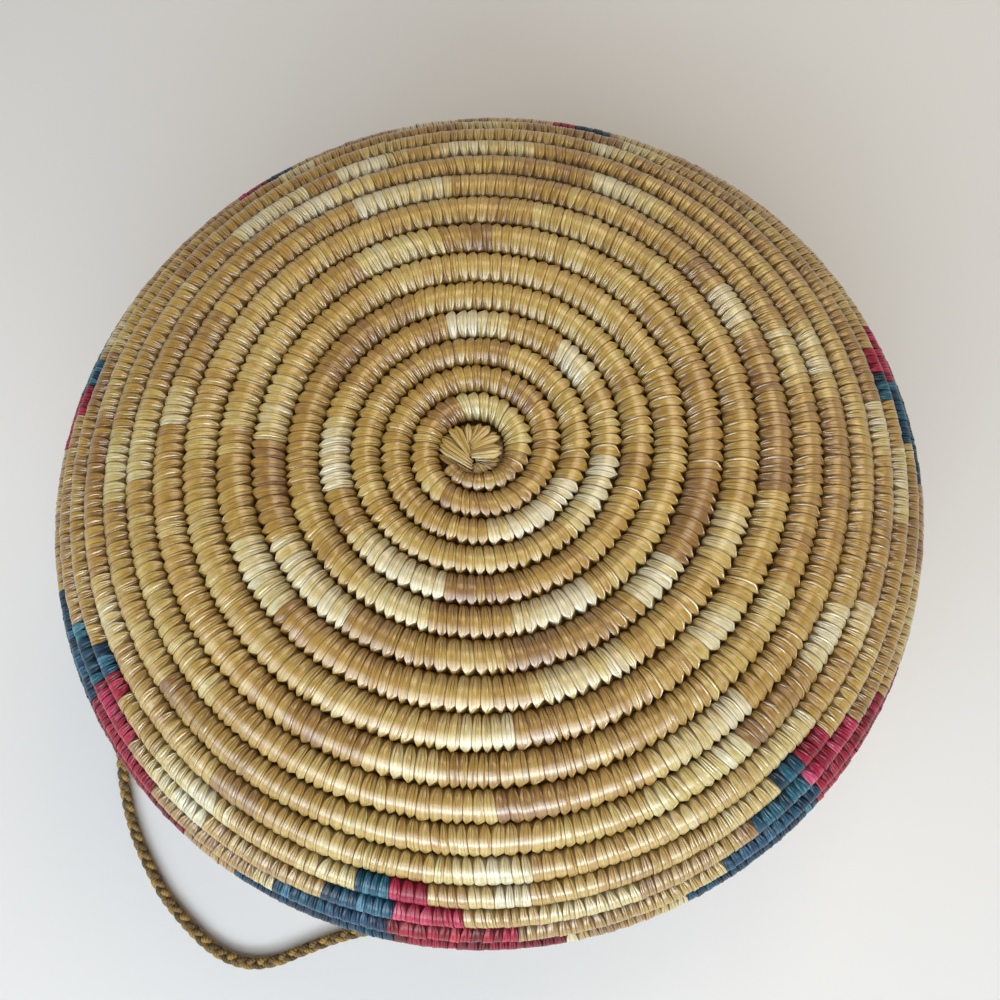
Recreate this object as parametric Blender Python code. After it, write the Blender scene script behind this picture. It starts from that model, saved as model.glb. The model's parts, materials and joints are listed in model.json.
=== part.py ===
"""Round coiled basket with a lift-off lid, in metres, +Z up, standing on the plane z = 0.

Lid and body are coiled the same way: one bundle of grass wound in a spiral from a start knot, each turn
wrapped and sewn to the turn before it. A row is one turn of that spiral. A groove is the line where two
rows meet, and every shell below is laid out from the curve that its grooves follow.
"""

import math
from bisect import bisect_left

import bmesh
import bpy
from mathutils import Matrix, Vector

# The coil
ROW_HEIGHT = 0.0090  # height of a rim row, which stands upright on the row below
GROOVE_DEPTH = 0.0030  # from the crest of a row down to the groove beside it
INNER_SKIN = 0.0060  # from a groove to the inner face of the wall
START_RADIUS = 0.0088  # where the first row begins, round the start knot
START_TURNS = 14 / 36  # how far before the X axis the first row begins
TAPER_TURNS = 5 / 36  # where the last row has thinned out to a point
THIN_ROW_RISE = 1.3  # a row narrower than 1 / 1.3 of the usual width stands less high

# The lid
RIM_RADIUS = 0.1568  # groove radius at the mouth, the widest part
LID_CROWN_RADIUS = 0.0863  # the highest ring of the lid
LID_DISH = 0.0105  # how far the lid's middle sinks below that ring
LID_DROP = 0.0479  # from that ring down to the rim row
LID_ROWS = 17
DISH_POWER = 1.225  # 1 is a straight cone, and more rounds it over at the ring

# The body
BASE_RING_RADIUS = 0.0850  # the ring that the basket stands on
BASE_DISH = 0.0060
BODY_DROP = 0.0790
BODY_ROWS = 20
FLAT_CUT = 0.0005  # worn flat where it stands

# Rows are wider between the middle and the shoulder, and tight on the wall
WIDE_ROW = 6.9
WIDE_SPREAD = 2.8
WIDE_EXTRA = 0.18
TIGHT_ROW = 12.5
TIGHT_LESS = 0.10

# The collar that the lid drops over
COLLAR_ABOVE = 0.0120
COLLAR_BELOW = 0.0180
COLLAR_ROWS = 3
COLLAR_THICKNESS = 0.0080
COLLAR_GROOVE = 0.0015
LID_CLEARANCE = 0.0008

# The start knots
KNOT_STRIPS = 14
KNOT_RISE = 0.0024
KNOT_VALLEY = 0.72  # how high the dome stands between two strips, as a share of a strip's height
KNOT_DOME = ((1.0, 0.0), (0.86, 1.0), (0.40, 1.15))  # each ring's share of the radius and the rise
KNOT_TOP = 0.6  # the middle lies lower than the strips round it
POCKET_SINK = 0.0010

# The cord and its stopper knots
CORD_DIAMETER = 0.0054
CORD_FIT = 0.0004  # all round, in the holes that it is threaded through
CORD_HOLE_HEIGHT = 0.0430  # about: it goes through the groove nearest to this height
CORD_LEFT_DEG = 185
CORD_RIGHT_DEG = 255
CORD_STRAIGHT = 0.0085  # straight run out of the wall
CORD_STEP = 2.2  # spacing of the tube's points, in diameters
STOPPER_RADIUS = 0.0062
STOPPER_LENGTH = 0.0105
STOPPER_BULGE = ((0.62, 0.0), (0.93, 0.22), (1.0, 0.48), (0.86, 0.76), (0.45, 0.95))
TAIL_RADIUS = 0.0031
TAIL_TIP = 0.8  # the tail's end, as a share of its radius
TAIL_LENGTH = 0.0090
# The cord's loop between its two straight runs, chosen by hand; z is left out where it lies on the table
CORD_ROUTE = (
    (-0.1632, -0.0176, 0.0256),
    (-0.1702, -0.0258, 0.0158),
    (-0.1753, -0.0375, 0.0082),
    (-0.1782, -0.0510, 0.0038),
    (-0.1788, -0.0650),
    (-0.1774, -0.0795),
    (-0.1742, -0.0945),
    (-0.1686, -0.1100),
    (-0.1602, -0.1265),
    (-0.1448, -0.1455),
    (-0.1310, -0.1545),
    (-0.1180, -0.1562),
    (-0.1058, -0.1540),
    (-0.0920, -0.1514),
    (-0.0790, -0.1502),
    (-0.0685, -0.1508, 0.0034),
    (-0.0588, -0.1528, 0.0075),
    (-0.0504, -0.1540, 0.0148),
    (-0.0440, -0.1536, 0.0244),
)

GAP = 0.0003  # between pieces that touch

# Facets
COLUMNS = 36
RING_COLUMNS = 48
INNER_RINGS = 12
HOLE_SIDES = 16
STOPPER_COLUMNS = 12
CURVE_STEPS = 240  # in each half of a grooves' curve
ROW_STEPS = 100  # in each row, where the rows' widths are added up
SPAN_STEPS = 20  # between two points of the cord's route
SHOULDERS = (0.25, 0.75)  # where a row reaches its full height, across its width

# Heights that the others hang from
BASE_LEVEL = GROOVE_DEPTH - FLAT_CUT  # the grooves' height at the standing ring
BODY_TOP = BASE_LEVEL + BODY_DROP
BODY_RIM_LOW = BODY_TOP + GAP
SEAM = BODY_RIM_LOW + ROW_HEIGHT
LID_RIM_LOW = SEAM + GAP
LID_LOW = LID_RIM_LOW + ROW_HEIGHT + GAP
LID_CROWN = LID_LOW + LID_DROP

STRAW = (0.52, 0.32, 0.11)
PALE_STRAW = (0.66, 0.50, 0.27)
INDIGO = (0.025, 0.075, 0.15)
CRIMSON = (0.42, 0.02, 0.06)
BARK = (0.23, 0.13, 0.05)


class GrooveCurve:
    """The curve that the grooves follow, from the middle out: a dish, then a quarter ellipse."""

    def __init__(self, crown_radius, dish, drop, rows):
        self.rows = rows
        self.points = []
        for i in range(CURVE_STEPS + 1):
            radius = crown_radius * i / CURVE_STEPS
            sunk = dish * (1 - radius / crown_radius) ** DISH_POWER
            self.points.append((radius, -sunk))
        for i in range(1, CURVE_STEPS + 1):
            angle = math.pi / 2 * i / CURVE_STEPS
            radius = crown_radius + (RIM_RADIUS - crown_radius) * math.sin(angle)
            self.points.append((radius, drop * (math.cos(angle) - 1)))
        self.lengths = [0.0]
        for a, b in zip(self.points, self.points[1:]):
            self.lengths.append(self.lengths[-1] + math.dist(a, b))
        self.length = self.lengths[-1]
        self.turns = self._turn_lengths()

    def _turn_lengths(self):
        """How far along the curve each small step of a row lies, as a share of the whole coil."""
        shares = [0.0]
        for i in range(ROW_STEPS * self.rows):
            row = (i + 0.5) / ROW_STEPS * LID_ROWS / self.rows
            wide = WIDE_EXTRA * math.exp(-(((row - WIDE_ROW) / WIDE_SPREAD) ** 2))
            tight = TIGHT_LESS if row > TIGHT_ROW else 0.0
            shares.append(shares[-1] + 1 + wide - tight)
        return [share / shares[-1] for share in shares]

    def along_at_radius(self, radius):
        i = next(i for i, point in enumerate(self.points) if point[0] >= radius)
        return self.lengths[i]

    def along_at_drop(self, depth):
        """The place on the outer wall that lies this far below the crown."""
        i = next(i for i in range(CURVE_STEPS, len(self.points)) if -self.points[i][1] >= depth)
        return self.lengths[i]

    def along_of_row(self, row):
        start = self.along_at_radius(START_RADIUS)
        place = min(max(row, 0.0), self.rows) * ROW_STEPS
        i = min(int(place), len(self.turns) - 2)
        share = self.turns[i] + (self.turns[i + 1] - self.turns[i]) * (place - i)
        return start + (self.length - start) * share

    def at(self, along, rise=0.0):
        """Radius and height of the point this far along, lifted off the curve by rise."""
        along = min(max(along, 0.0), self.length)
        i = max(bisect_left(self.lengths, along), 1)
        part = (along - self.lengths[i - 1]) / (self.lengths[i] - self.lengths[i - 1])
        (r0, z0), (r1, z1) = self.points[i - 1], self.points[i]
        normal_r, normal_z = self.normal(i)
        radius = r0 + (r1 - r0) * part + rise * normal_r
        return radius, z0 + (z1 - z0) * part + rise * normal_z

    def normal(self, i):
        """The outward direction at point i. The curve ends upright, so its last normal is level."""
        if i >= len(self.points) - 1:
            return 1.0, 0.0
        (r0, z0), (r1, z1) = self.points[max(i - 1, 0)], self.points[i + 1]
        length = math.hypot(r1 - r0, z1 - z0)
        return (z0 - z1) / length, (r1 - r0) / length

    def normal_at(self, along):
        return self.normal(bisect_left(self.lengths, along))


LID_CURVE = GrooveCurve(LID_CROWN_RADIUS, LID_DISH, LID_DROP, LID_ROWS)
BODY_CURVE = GrooveCurve(BASE_RING_RADIUS, BASE_DISH, BODY_DROP, BODY_ROWS)


def clear_scene():
    for obj in list(bpy.data.objects):
        bpy.data.objects.remove(obj, do_unlink=True)


def material(name, color, roughness):
    made = bpy.data.materials.new(name)
    made.use_nodes = True
    shader = made.node_tree.nodes["Principled BSDF"]
    shader.inputs["Base Color"].default_value = (*color, 1.0)
    shader.inputs["Roughness"].default_value = roughness
    shader.inputs["Metallic"].default_value = 0.0
    made.diffuse_color = (*color, 1.0)
    return made


def add_object(name, bm, color, roughness=0.5, sharp_deg=35):
    """Turns a bmesh into a named object with its own material."""
    bmesh.ops.recalc_face_normals(bm, faces=bm.faces)
    mesh = bpy.data.meshes.new(name)
    bm.to_mesh(mesh)
    bm.free()
    mesh.shade_smooth()
    mesh.set_sharp_from_angle(angle=math.radians(sharp_deg))
    obj = bpy.data.objects.new(name, mesh)
    bpy.context.scene.collection.objects.link(obj)
    mesh.materials.append(material(name, color, roughness))
    return obj


def on_turn(turn, radius, height):
    angle = 2 * math.pi * turn
    return Vector((radius * math.cos(angle), radius * math.sin(angle), height))


def coiled_shell(curve, crest_limit=math.inf):
    """A closed shell whose outer face is one spiral row, wound from the middle to a level edge.

    Its grooves shift out by one row per turn. The row starts at full height beside the start knot's
    pocket, and on its last turn it narrows to a point, so that the edge is a true circle.
    """
    bm = bmesh.new()
    first = -round(START_TURNS * COLUMNS)
    last = curve.rows * COLUMNS - round(TAPER_TURNS * COLUMNS) - first
    nominal = (curve.length - curve.along_at_radius(START_RADIUS)) / curve.rows

    def turn(j):
        return (first + j) / COLUMNS

    def groove_along(j):
        return curve.along_of_row(curve.rows if j >= last else turn(j))

    grooves = []
    for j in range(last + COLUMNS):
        radius, height = curve.at(groove_along(j))
        grooves.append(bm.verts.new(on_turn(turn(j), radius, height)))

    crests = []
    for j in range(last):
        low, high = groove_along(j), groove_along(j + COLUMNS)
        rise = GROOVE_DEPTH * min(1.0, THIN_ROW_RISE * (high - low) / nominal)
        pair = []
        for share in SHOULDERS:
            radius, height = curve.at(low + (high - low) * share, rise)
            pair.append(bm.verts.new(on_turn(turn(j), radius, min(height, crest_limit))))
        crests.append(pair)

    for j in range(last - 1):
        here = (grooves[j], *crests[j], grooves[j + COLUMNS])
        beyond = (grooves[j + 1], *crests[j + 1], grooves[j + 1 + COLUMNS])
        for k in range(3):
            bm.faces.new((here[k], here[k + 1], beyond[k + 1], beyond[k]))
    here = (grooves[last - 1], *crests[last - 1], grooves[last - 1 + COLUMNS])
    for k in range(3):
        bm.faces.new((here[k], here[k + 1], grooves[last]))

    start_height = curve.at(0.0)[1] - POCKET_SINK
    apex = bm.verts.new((0.0, 0.0, start_height))
    for j in range(COLUMNS):
        bm.faces.new((apex, grooves[j], grooves[j + 1]))
    bm.faces.new((grooves[0], *crests[0], grooves[COLUMNS]))
    bm.faces.new((apex, grooves[0], grooves[COLUMNS]))

    edge = grooves[last:]
    ring = []
    for k in range(1, INNER_RINGS + 1):
        radius, height = curve.at(curve.length * k / INNER_RINGS, -INNER_SKIN)
        before = ring
        ring = [bm.verts.new(on_turn(turn(last + c), radius, height)) for c in range(COLUMNS)]
        if k == 1:
            pole = bm.verts.new((0.0, 0.0, curve.at(0.0)[1] - INNER_SKIN))
            for c in range(COLUMNS):
                bm.faces.new((pole, ring[c], ring[(c + 1) % COLUMNS]))
        else:
            bridge(bm, before, ring)
    bridge(bm, ring, edge)
    return bm


def bridge(bm, inner, outer):
    """Joins two rings of as many points with a band of faces."""
    count = len(inner)
    for c in range(count):
        d = (c + 1) % count
        bm.faces.new((inner[c], outer[c], outer[d], inner[d]))


def turned_ring(profile):
    """A closed ring whose section is the list of (radius, height) points."""
    bm = bmesh.new()
    rings = []
    for radius, height in profile:
        rings.append([bm.verts.new(on_turn(c / RING_COLUMNS, radius, height)) for c in range(RING_COLUMNS)])
    for here, beyond in zip(rings, rings[1:] + rings[:1]):
        bridge(bm, here, beyond)
    return bm


def turned_solid(profile, columns):
    """A solid of revolution about Z from the axis to the axis, through (radius, height) points."""
    bm = bmesh.new()
    rings = []
    for radius, height in profile[1:-1]:
        rings.append([bm.verts.new(on_turn(c / columns, radius, height)) for c in range(columns)])
    for here, beyond in zip(rings, rings[1:]):
        bridge(bm, here, beyond)
    for point, ring in ((profile[0], rings[0]), (profile[-1], rings[-1])):
        pole = bm.verts.new((0.0, 0.0, point[1]))
        for c in range(columns):
            bm.faces.new((pole, ring[c], ring[(c + 1) % columns]))
    return bm


def turn_over(bm, level):
    """Turns a shell upside down, as the body is, with its crown's grooves at this height."""
    flip = Matrix.Translation((0.0, 0.0, level)) @ Matrix.Rotation(math.pi, 4, "X")
    bmesh.ops.transform(bm, matrix=flip, verts=bm.verts)


def lift(bm, height):
    bmesh.ops.translate(bm, vec=(0.0, 0.0, height), verts=bm.verts)


def rim_section(low):
    """One rim row in section: upright and rounded, with level faces where it meets the next."""
    outer, inner = RIM_RADIUS + GROOVE_DEPTH, RIM_RADIUS - INNER_SKIN
    high = low + ROW_HEIGHT
    corner = GROOVE_DEPTH
    return [
        (inner + corner, low),
        (outer - corner, low),
        (outer, low + corner),
        (outer, high - corner),
        (outer - corner, high),
        (inner + corner, high),
        (inner, high - corner),
        (inner, low + corner),
    ]


def body_inner_radius(height):
    """The radius of the body's inner face at this height."""
    along = BODY_CURVE.along_at_drop(height - BASE_LEVEL)
    return BODY_CURVE.at(along, -INNER_SKIN)[0]


def collar_section():
    """The collar's rows, stacked upright, sewn inside the mouth and standing up into the lid."""
    low, high = SEAM - COLLAR_BELOW, SEAM + COLLAR_ABOVE
    clear_of_lid = RIM_RADIUS - INNER_SKIN - LID_CLEARANCE
    outer = min(clear_of_lid, body_inner_radius(low) * math.cos(math.pi / COLUMNS) - GAP)
    inner = outer - COLLAR_THICKNESS
    row = (high - low) / COLLAR_ROWS
    points = []
    for k in range(COLLAR_ROWS):
        points.append((outer - COLLAR_GROOVE, low + row * k))
        for share in SHOULDERS:
            points.append((outer, low + row * (k + share)))
    points.append((outer - COLLAR_GROOVE, high))
    points.append((inner + COLLAR_GROOVE, high))
    for k in reversed(range(COLLAR_ROWS)):
        for share in reversed(SHOULDERS):
            points.append((inner, low + row * (k + share)))
        points.append((inner + COLLAR_GROOVE, low + row * k))
    return points


def start_knot(curve):
    """The gathered strip ends at the middle of the coil: a low dome of strips that fan out like a star."""
    bm = bmesh.new()
    edge = START_RADIUS - GAP
    groove = curve.at(curve.along_at_radius(START_RADIUS))[1]
    floor = curve.at(0.0)[1] - POCKET_SINK + GAP
    under = bm.verts.new((0.0, 0.0, floor))
    top = bm.verts.new((0.0, 0.0, groove + KNOT_TOP * KNOT_RISE))
    count = 2 * KNOT_STRIPS
    rings = []
    for radius_share, rise_share in KNOT_DOME:
        ring = []
        for c in range(count):
            ridge = 1.0 if c % 2 == 0 else KNOT_VALLEY
            height = groove + max(rise_share * KNOT_RISE * ridge, GAP)
            ring.append(bm.verts.new(on_turn(c / count, edge * radius_share, height)))
        rings.append(ring)
    for here, beyond in zip(rings, rings[1:]):
        bridge(bm, here, beyond)
    for c in range(count):
        d = (c + 1) % count
        bm.faces.new((under, rings[0][c], rings[0][d]))
        bm.faces.new((top, rings[-1][c], rings[-1][d]))
    return bm


def cord_hole(azimuth_deg):
    """Where the cord is threaded through the body's wall, between two rows.

    It gives a point in the groove, the way out, and how deep the inner face lies behind it.
    """
    turn = azimuth_deg / 360
    wanted = BODY_CURVE.along_at_drop(CORD_HOLE_HEIGHT - BASE_LEVEL)
    # Turned over, the body's spiral runs the other way round
    grooves = [BODY_CURVE.along_of_row(row - turn) for row in range(1, BODY_ROWS + 1)]
    along = min(grooves, key=lambda place: abs(place - wanted))
    radius, drop = BODY_CURVE.at(along)
    normal_r, normal_z = BODY_CURVE.normal_at(along)
    # The body's curve is upside down, so its height and its normal's both change sign
    point = on_turn(turn, radius, BASE_LEVEL - drop)
    outward = on_turn(turn, normal_r, -normal_z).normalized()
    step = BODY_CURVE.length / INNER_RINGS
    k = int(along / step)
    column = math.floor(turn * COLUMNS)
    corners = []
    for ring, place in ((k, column), (k, column + 1), (k + 1, column)):
        ring_radius, ring_drop = BODY_CURVE.at(ring * step, -INNER_SKIN)
        corners.append(on_turn(place / COLUMNS, ring_radius, BASE_LEVEL - ring_drop))
    facing = (corners[1] - corners[0]).cross(corners[2] - corners[0])
    depth = (point - corners[0]).dot(facing) / outward.dot(facing)
    return point, outward, depth


def hole_cutter(name, azimuth_deg):
    """A round bar along the hole, which cuts it through the wall."""
    point, outward, _ = cord_hole(azimuth_deg)
    bm = bmesh.new()
    reach = 2 * (INNER_SKIN + GROOVE_DEPTH)
    bmesh.ops.create_cone(
        bm,
        cap_ends=True,
        segments=HOLE_SIDES,
        radius1=CORD_DIAMETER / 2 + CORD_FIT,
        radius2=CORD_DIAMETER / 2 + CORD_FIT,
        depth=2 * reach,
    )
    place = Matrix.Translation(point) @ outward.to_track_quat("Z", "Y").to_matrix().to_4x4()
    bmesh.ops.transform(bm, matrix=place, verts=bm.verts)
    cutter = add_object(name, bm, STRAW)
    cutter.hide_render = True
    cutter.display_type = "WIRE"
    return cutter


def smooth_through(points, spacing):
    """Evenly spaced points on one smooth curve through the given points."""
    fine = []
    for i in range(len(points) - 1):
        p1, p2 = points[i], points[i + 1]
        p0 = points[i - 1] if i else 2 * p1 - p2
        p3 = points[i + 2] if i + 2 < len(points) else 2 * p2 - p1
        for k in range(SPAN_STEPS):
            t = k / SPAN_STEPS
            fine.append(
                0.5
                * (
                    2 * p1
                    + (p2 - p0) * t
                    + (2 * p0 - 5 * p1 + 4 * p2 - p3) * t**2
                    + (3 * p1 - p0 - 3 * p2 + p3) * t**3
                )
            )
    fine.append(points[-1].copy())
    lengths = [0.0]
    for a, b in zip(fine, fine[1:]):
        lengths.append(lengths[-1] + (b - a).length)
    count = max(2, round(lengths[-1] / spacing))
    even = []
    i = 0
    for k in range(count + 1):
        target = lengths[-1] * k / count
        while i < len(lengths) - 2 and lengths[i + 1] < target:
            i += 1
        part = (target - lengths[i]) / (lengths[i + 1] - lengths[i])
        even.append(fine[i].lerp(fine[i + 1], min(part, 1.0)))
    return even


def cord_points():
    """The cord from its left stopper knot, out through the wall, round its loop and back in."""
    lying = CORD_DIAMETER / 2 + GAP / 2
    left, left_out, left_depth = cord_hole(CORD_LEFT_DEG)
    right, right_out, right_depth = cord_hole(CORD_RIGHT_DEG)
    loop = [Vector((p[0], p[1], p[2] if len(p) == 3 else lying)) for p in CORD_ROUTE]
    clear = GROOVE_DEPTH + CORD_STRAIGHT
    points = [left - left_out * left_depth, left + left_out * GROOVE_DEPTH, left + left_out * clear]
    points += loop
    points += [right + right_out * clear, right + right_out * GROOVE_DEPTH, right - right_out * right_depth]
    return smooth_through(points, CORD_STEP * CORD_DIAMETER)


def add_cord():
    curve = bpy.data.curves.new("cord_loop", "CURVE")
    curve.dimensions = "3D"
    curve.bevel_depth = CORD_DIAMETER / 2
    curve.bevel_resolution = 2
    curve.use_fill_caps = True
    points = cord_points()
    spline = curve.splines.new("POLY")
    spline.points.add(len(points) - 1)
    for target, point in zip(spline.points, points):
        target.co = (*point, 1.0)
    obj = bpy.data.objects.new("cord_loop", curve)
    bpy.context.scene.collection.objects.link(obj)
    curve.materials.append(material("cord_loop", BARK, 0.75))
    return obj


def stopper_knot(name, azimuth_deg):
    """The knot inside the wall that keeps the cord from pulling out, with the cord's tail beyond it."""
    point, outward, depth = cord_hole(azimuth_deg)
    end = STOPPER_LENGTH + TAIL_LENGTH
    profile = [(0.0, 0.0)]
    for radius_share, length_share in STOPPER_BULGE:
        profile.append((STOPPER_RADIUS * radius_share, STOPPER_LENGTH * length_share))
    profile.append((TAIL_RADIUS, end - TAIL_RADIUS / 2))
    profile.append((TAIL_RADIUS * TAIL_TIP, end))
    profile.append((0.0, end))
    bm = turned_solid(profile, STOPPER_COLUMNS)
    seat = point - outward * (depth + GAP)
    place = Matrix.Translation(seat) @ (-outward).to_track_quat("Z", "Y").to_matrix().to_4x4()
    bmesh.ops.transform(bm, matrix=place, verts=bm.verts)
    return add_object(name, bm, BARK, 0.75)


def build_lid():
    shell = coiled_shell(LID_CURVE)
    lift(shell, LID_CROWN)
    add_object("lid_coil", shell, STRAW)
    knot = start_knot(LID_CURVE)
    lift(knot, LID_CROWN)
    add_object("lid_start_knot", knot, PALE_STRAW, sharp_deg=20)
    add_object("lid_rim_coil", turned_ring(rim_section(LID_RIM_LOW)), CRIMSON)


def build_body():
    shell = coiled_shell(BODY_CURVE, crest_limit=BASE_LEVEL)
    turn_over(shell, BASE_LEVEL)
    body = add_object("body_coil", shell, STRAW)
    for side, azimuth in (("left", CORD_LEFT_DEG), ("right", CORD_RIGHT_DEG)):
        cut = body.modifiers.new("cord_hole_" + side, "BOOLEAN")
        cut.operation = "DIFFERENCE"
        cut.solver = "EXACT"
        cut.object = hole_cutter("cord_hole_cutter_" + side, azimuth)
    knot = start_knot(BODY_CURVE)
    turn_over(knot, BASE_LEVEL)
    add_object("base_start_knot", knot, PALE_STRAW, sharp_deg=20)
    add_object("body_rim_coil", turned_ring(rim_section(BODY_RIM_LOW)), INDIGO)
    add_object("mouth_collar", turned_ring(collar_section()), STRAW)


def build_cord():
    add_cord()
    stopper_knot("cord_knot_left", CORD_LEFT_DEG)
    stopper_knot("cord_knot_right", CORD_RIGHT_DEG)


def main():
    clear_scene()
    build_lid()
    build_body()
    build_cord()


main()
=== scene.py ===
"""Looks of a round coiled straw basket with a lift-off lid, in metres, +Z up.

Each row of the coil is a bundle of grass wrapped in flat straw strips. Here every strip is modelled: it
comes out of the crevice inside its row, lies over the crest and ends as a tooth in the next crevice.
"""

import json
import math
from collections import namedtuple

import bmesh
import bpy
import numpy as np
from mathutils import Matrix, Vector

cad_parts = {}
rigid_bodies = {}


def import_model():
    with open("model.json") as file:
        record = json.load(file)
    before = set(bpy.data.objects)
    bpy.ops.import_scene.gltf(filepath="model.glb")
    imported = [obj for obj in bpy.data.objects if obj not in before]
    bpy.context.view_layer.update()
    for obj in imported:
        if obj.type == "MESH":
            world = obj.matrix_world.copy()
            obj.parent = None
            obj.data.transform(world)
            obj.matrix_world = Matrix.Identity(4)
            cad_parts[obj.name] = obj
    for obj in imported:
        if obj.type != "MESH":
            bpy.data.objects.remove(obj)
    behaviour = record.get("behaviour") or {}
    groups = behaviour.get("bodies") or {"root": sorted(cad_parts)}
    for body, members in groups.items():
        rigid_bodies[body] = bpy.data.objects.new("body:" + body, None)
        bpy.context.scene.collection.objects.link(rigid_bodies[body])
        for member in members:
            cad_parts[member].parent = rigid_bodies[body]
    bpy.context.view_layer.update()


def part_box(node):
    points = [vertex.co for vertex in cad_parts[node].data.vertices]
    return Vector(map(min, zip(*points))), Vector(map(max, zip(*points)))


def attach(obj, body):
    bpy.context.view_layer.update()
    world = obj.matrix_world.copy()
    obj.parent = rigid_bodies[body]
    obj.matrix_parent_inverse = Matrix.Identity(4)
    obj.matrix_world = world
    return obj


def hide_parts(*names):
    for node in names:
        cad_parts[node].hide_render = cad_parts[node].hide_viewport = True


for startup_object in list(bpy.data.objects):
    bpy.data.objects.remove(startup_object, do_unlink=True)

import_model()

MM = 0.001
TINY = 0.001 * MM  # the least length to divide by
UPWARD = (0.0, 0.0, 1.0)
WHITE = (1.0, 1.0, 1.0, 1.0)

# The camera, where the photograph was taken from
CAMERA_PLACE = (0.0, -0.13136, 0.45460)
LOOK_DOWN_DEG = 70.4334
TURN_DEG = 2.2752
ROLL_DEG = -6.91
LENS = 36.0
SENSOR = 36.0
CLIP = (0.01, 20.0)

# The coil's layout, as in the solids
GAP = 0.0003
GROOVE_DEPTH = 0.0030
INNER_SKIN = 0.0060
THIN_ROW_RISE = 1.3
START_TURNS = 0.43  # how much of the first row lies beside the start knot's pocket
TAPER_TURNS = 5 / 36
LID_CROWN_RADIUS = 0.0863
LID_DISH = 0.0105
LID_ROWS = 17
DISH_POWER = 1.225
BASE_RING_RADIUS = 0.0850
BASE_DISH = 0.0060
BODY_ROWS = 20
FLAT_CUT = 0.0005
WIDE_ROW = 6.9
WIDE_SPREAD = 2.8
WIDE_EXTRA = 0.18
TIGHT_ROW = 12.5
TIGHT_LESS = 0.10
COLLAR_ROWS = 3
COLLAR_THICKNESS = 0.0080
CURVE_STEPS = 240
ROW_STEPS = 100

# Levels and radii taken from the solids
RIM_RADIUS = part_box("lid_rim_coil")[1].x - GROOVE_DEPTH
START_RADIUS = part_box("lid_start_knot")[1].x + GAP
LID_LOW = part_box("lid_coil")[0].z
LID_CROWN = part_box("lid_coil")[1].z - GROOVE_DEPTH
BODY_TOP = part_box("body_coil")[1].z
BASE_LEVEL = GROOVE_DEPTH - FLAT_CUT

# The cord
CORD_DIAMETER = 0.0054
CORD_HOLE_HEIGHT = 0.0430
CORD_LEFT_DEG = 185
CORD_RIGHT_DEG = 255
CORD_STRAIGHT = 0.0085
CORD_INSIDE = 0.0068  # from the groove that it is threaded through to the wall's inner face
CORD_LYING = CORD_DIAMETER / 2 + GAP / 2
# The cord's loop between its two straight runs, as in the solids; z is left out where it lies on the table
CORD_ROUTE = (
    (-0.1632, -0.0176, 0.0256),
    (-0.1702, -0.0258, 0.0158),
    (-0.1753, -0.0375, 0.0082),
    (-0.1782, -0.0510, 0.0038),
    (-0.1788, -0.0650),
    (-0.1774, -0.0795),
    (-0.1742, -0.0945),
    (-0.1686, -0.1100),
    (-0.1602, -0.1265),
    (-0.1448, -0.1455),
    (-0.1310, -0.1545),
    (-0.1180, -0.1562),
    (-0.1058, -0.1540),
    (-0.0920, -0.1514),
    (-0.0790, -0.1502),
    (-0.0685, -0.1508, 0.0034),
    (-0.0588, -0.1528, 0.0075),
    (-0.0504, -0.1540, 0.0148),
    (-0.0440, -0.1536, 0.0244),
)
SPAN_STEPS = 20
PLAIT_LENGTH = 0.0135  # along the cord, until a strand is back where it was
PLAIT_SIDEWAYS = 0.00118  # how far a strand swings to each side
PLAIT_UPDOWN = 0.00095
STRAND_WIDE = 0.00120  # half of a strand's width
STRAND_HIGH = 0.00118
STRANDS = 3
PLAIT_SETTLE = 0.0004  # a plait is flatter than a round cord, so it lies lower
STRAND_SIDES = 10
STRAND_STEP = 0.0008

# Around a row: the angle, from the crevice inside the row over its crest and back underneath; half of a
# strip's width there, as a share of the strips' spacing; how deep the gap beside the strip is, in mm; the
# painted shade of the strip and of the gap's floor, darkest in and near the crevices; how strongly the
# creases show, in depth and in dark lines that are partly painted shade; and how far the strip stands off
# the row's even surface, in mm. Both ends are pointed and lie between the next row's
RING = (
    (0, 0.03, -0.10, 0.90, 1.0, 1.0, 0.0),
    (16, 0.08, 0.28, 0.58, 1.0, 1.0, 0.18),
    (25, 0.19, 0.32, 0.38, 0.90, 1.0, 0.22),
    (34, 0.300, 0.34, 0.27, 0.80, 1.0, 0.14),
    (43, 0.380, 0.34, 0.18, 0.70, 1.0, 0.06),
    (54, 0.435, 0.30, 0.11, 0.58, 1.0, 0.0),
    (67, 0.468, 0.23, 0.05, 0.46, 0.9, 0.0),
    (82, 0.485, 0.16, 0.02, 0.38, 0.65, 0.0),
    (98, 0.490, 0.12, 0.0, 0.34, 0.5, 0.0),
    (112, 0.491, 0.11, 0.0, 0.34, 0.4, 0.0),
    (125, 0.490, 0.13, 0.0, 0.43, 0.35, 0.0),
    (133, 0.475, 0.30, 0.02, 0.72, 0.35, 0.03),
    (139.5, 0.375, 0.65, 0.05, 0.95, 0.35, 0.08),
    (146, 0.250, 0.95, 0.10, 1.0, 0.35, 0.15),
    (152.5, 0.140, 1.1, 0.19, 1.0, 0.35, 0.23),
    (159, 0.065, 1.1, 0.34, 1.0, 0.35, 0.30),
    (166, 0.03, 1.0, 0.65, 1.0, 0.35, 0.30),
    (178, 0.03, -0.15, 1.00, 1.0, 0.35, 0.0),
    (207, 0.28, 0.5, 0.60, 0.9, 0.5, 0.0),
    (238, 0.43, 0.4, 0.15, 0.5, 0.5, 0.0),
    (270, 0.465, 0.35, 0.05, 0.4, 0.5, 0.0),
    (303, 0.43, 0.4, 0.15, 0.5, 0.5, 0.0),
    (334, 0.26, 0.5, 0.60, 0.9, 0.8, -0.1),
)
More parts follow.
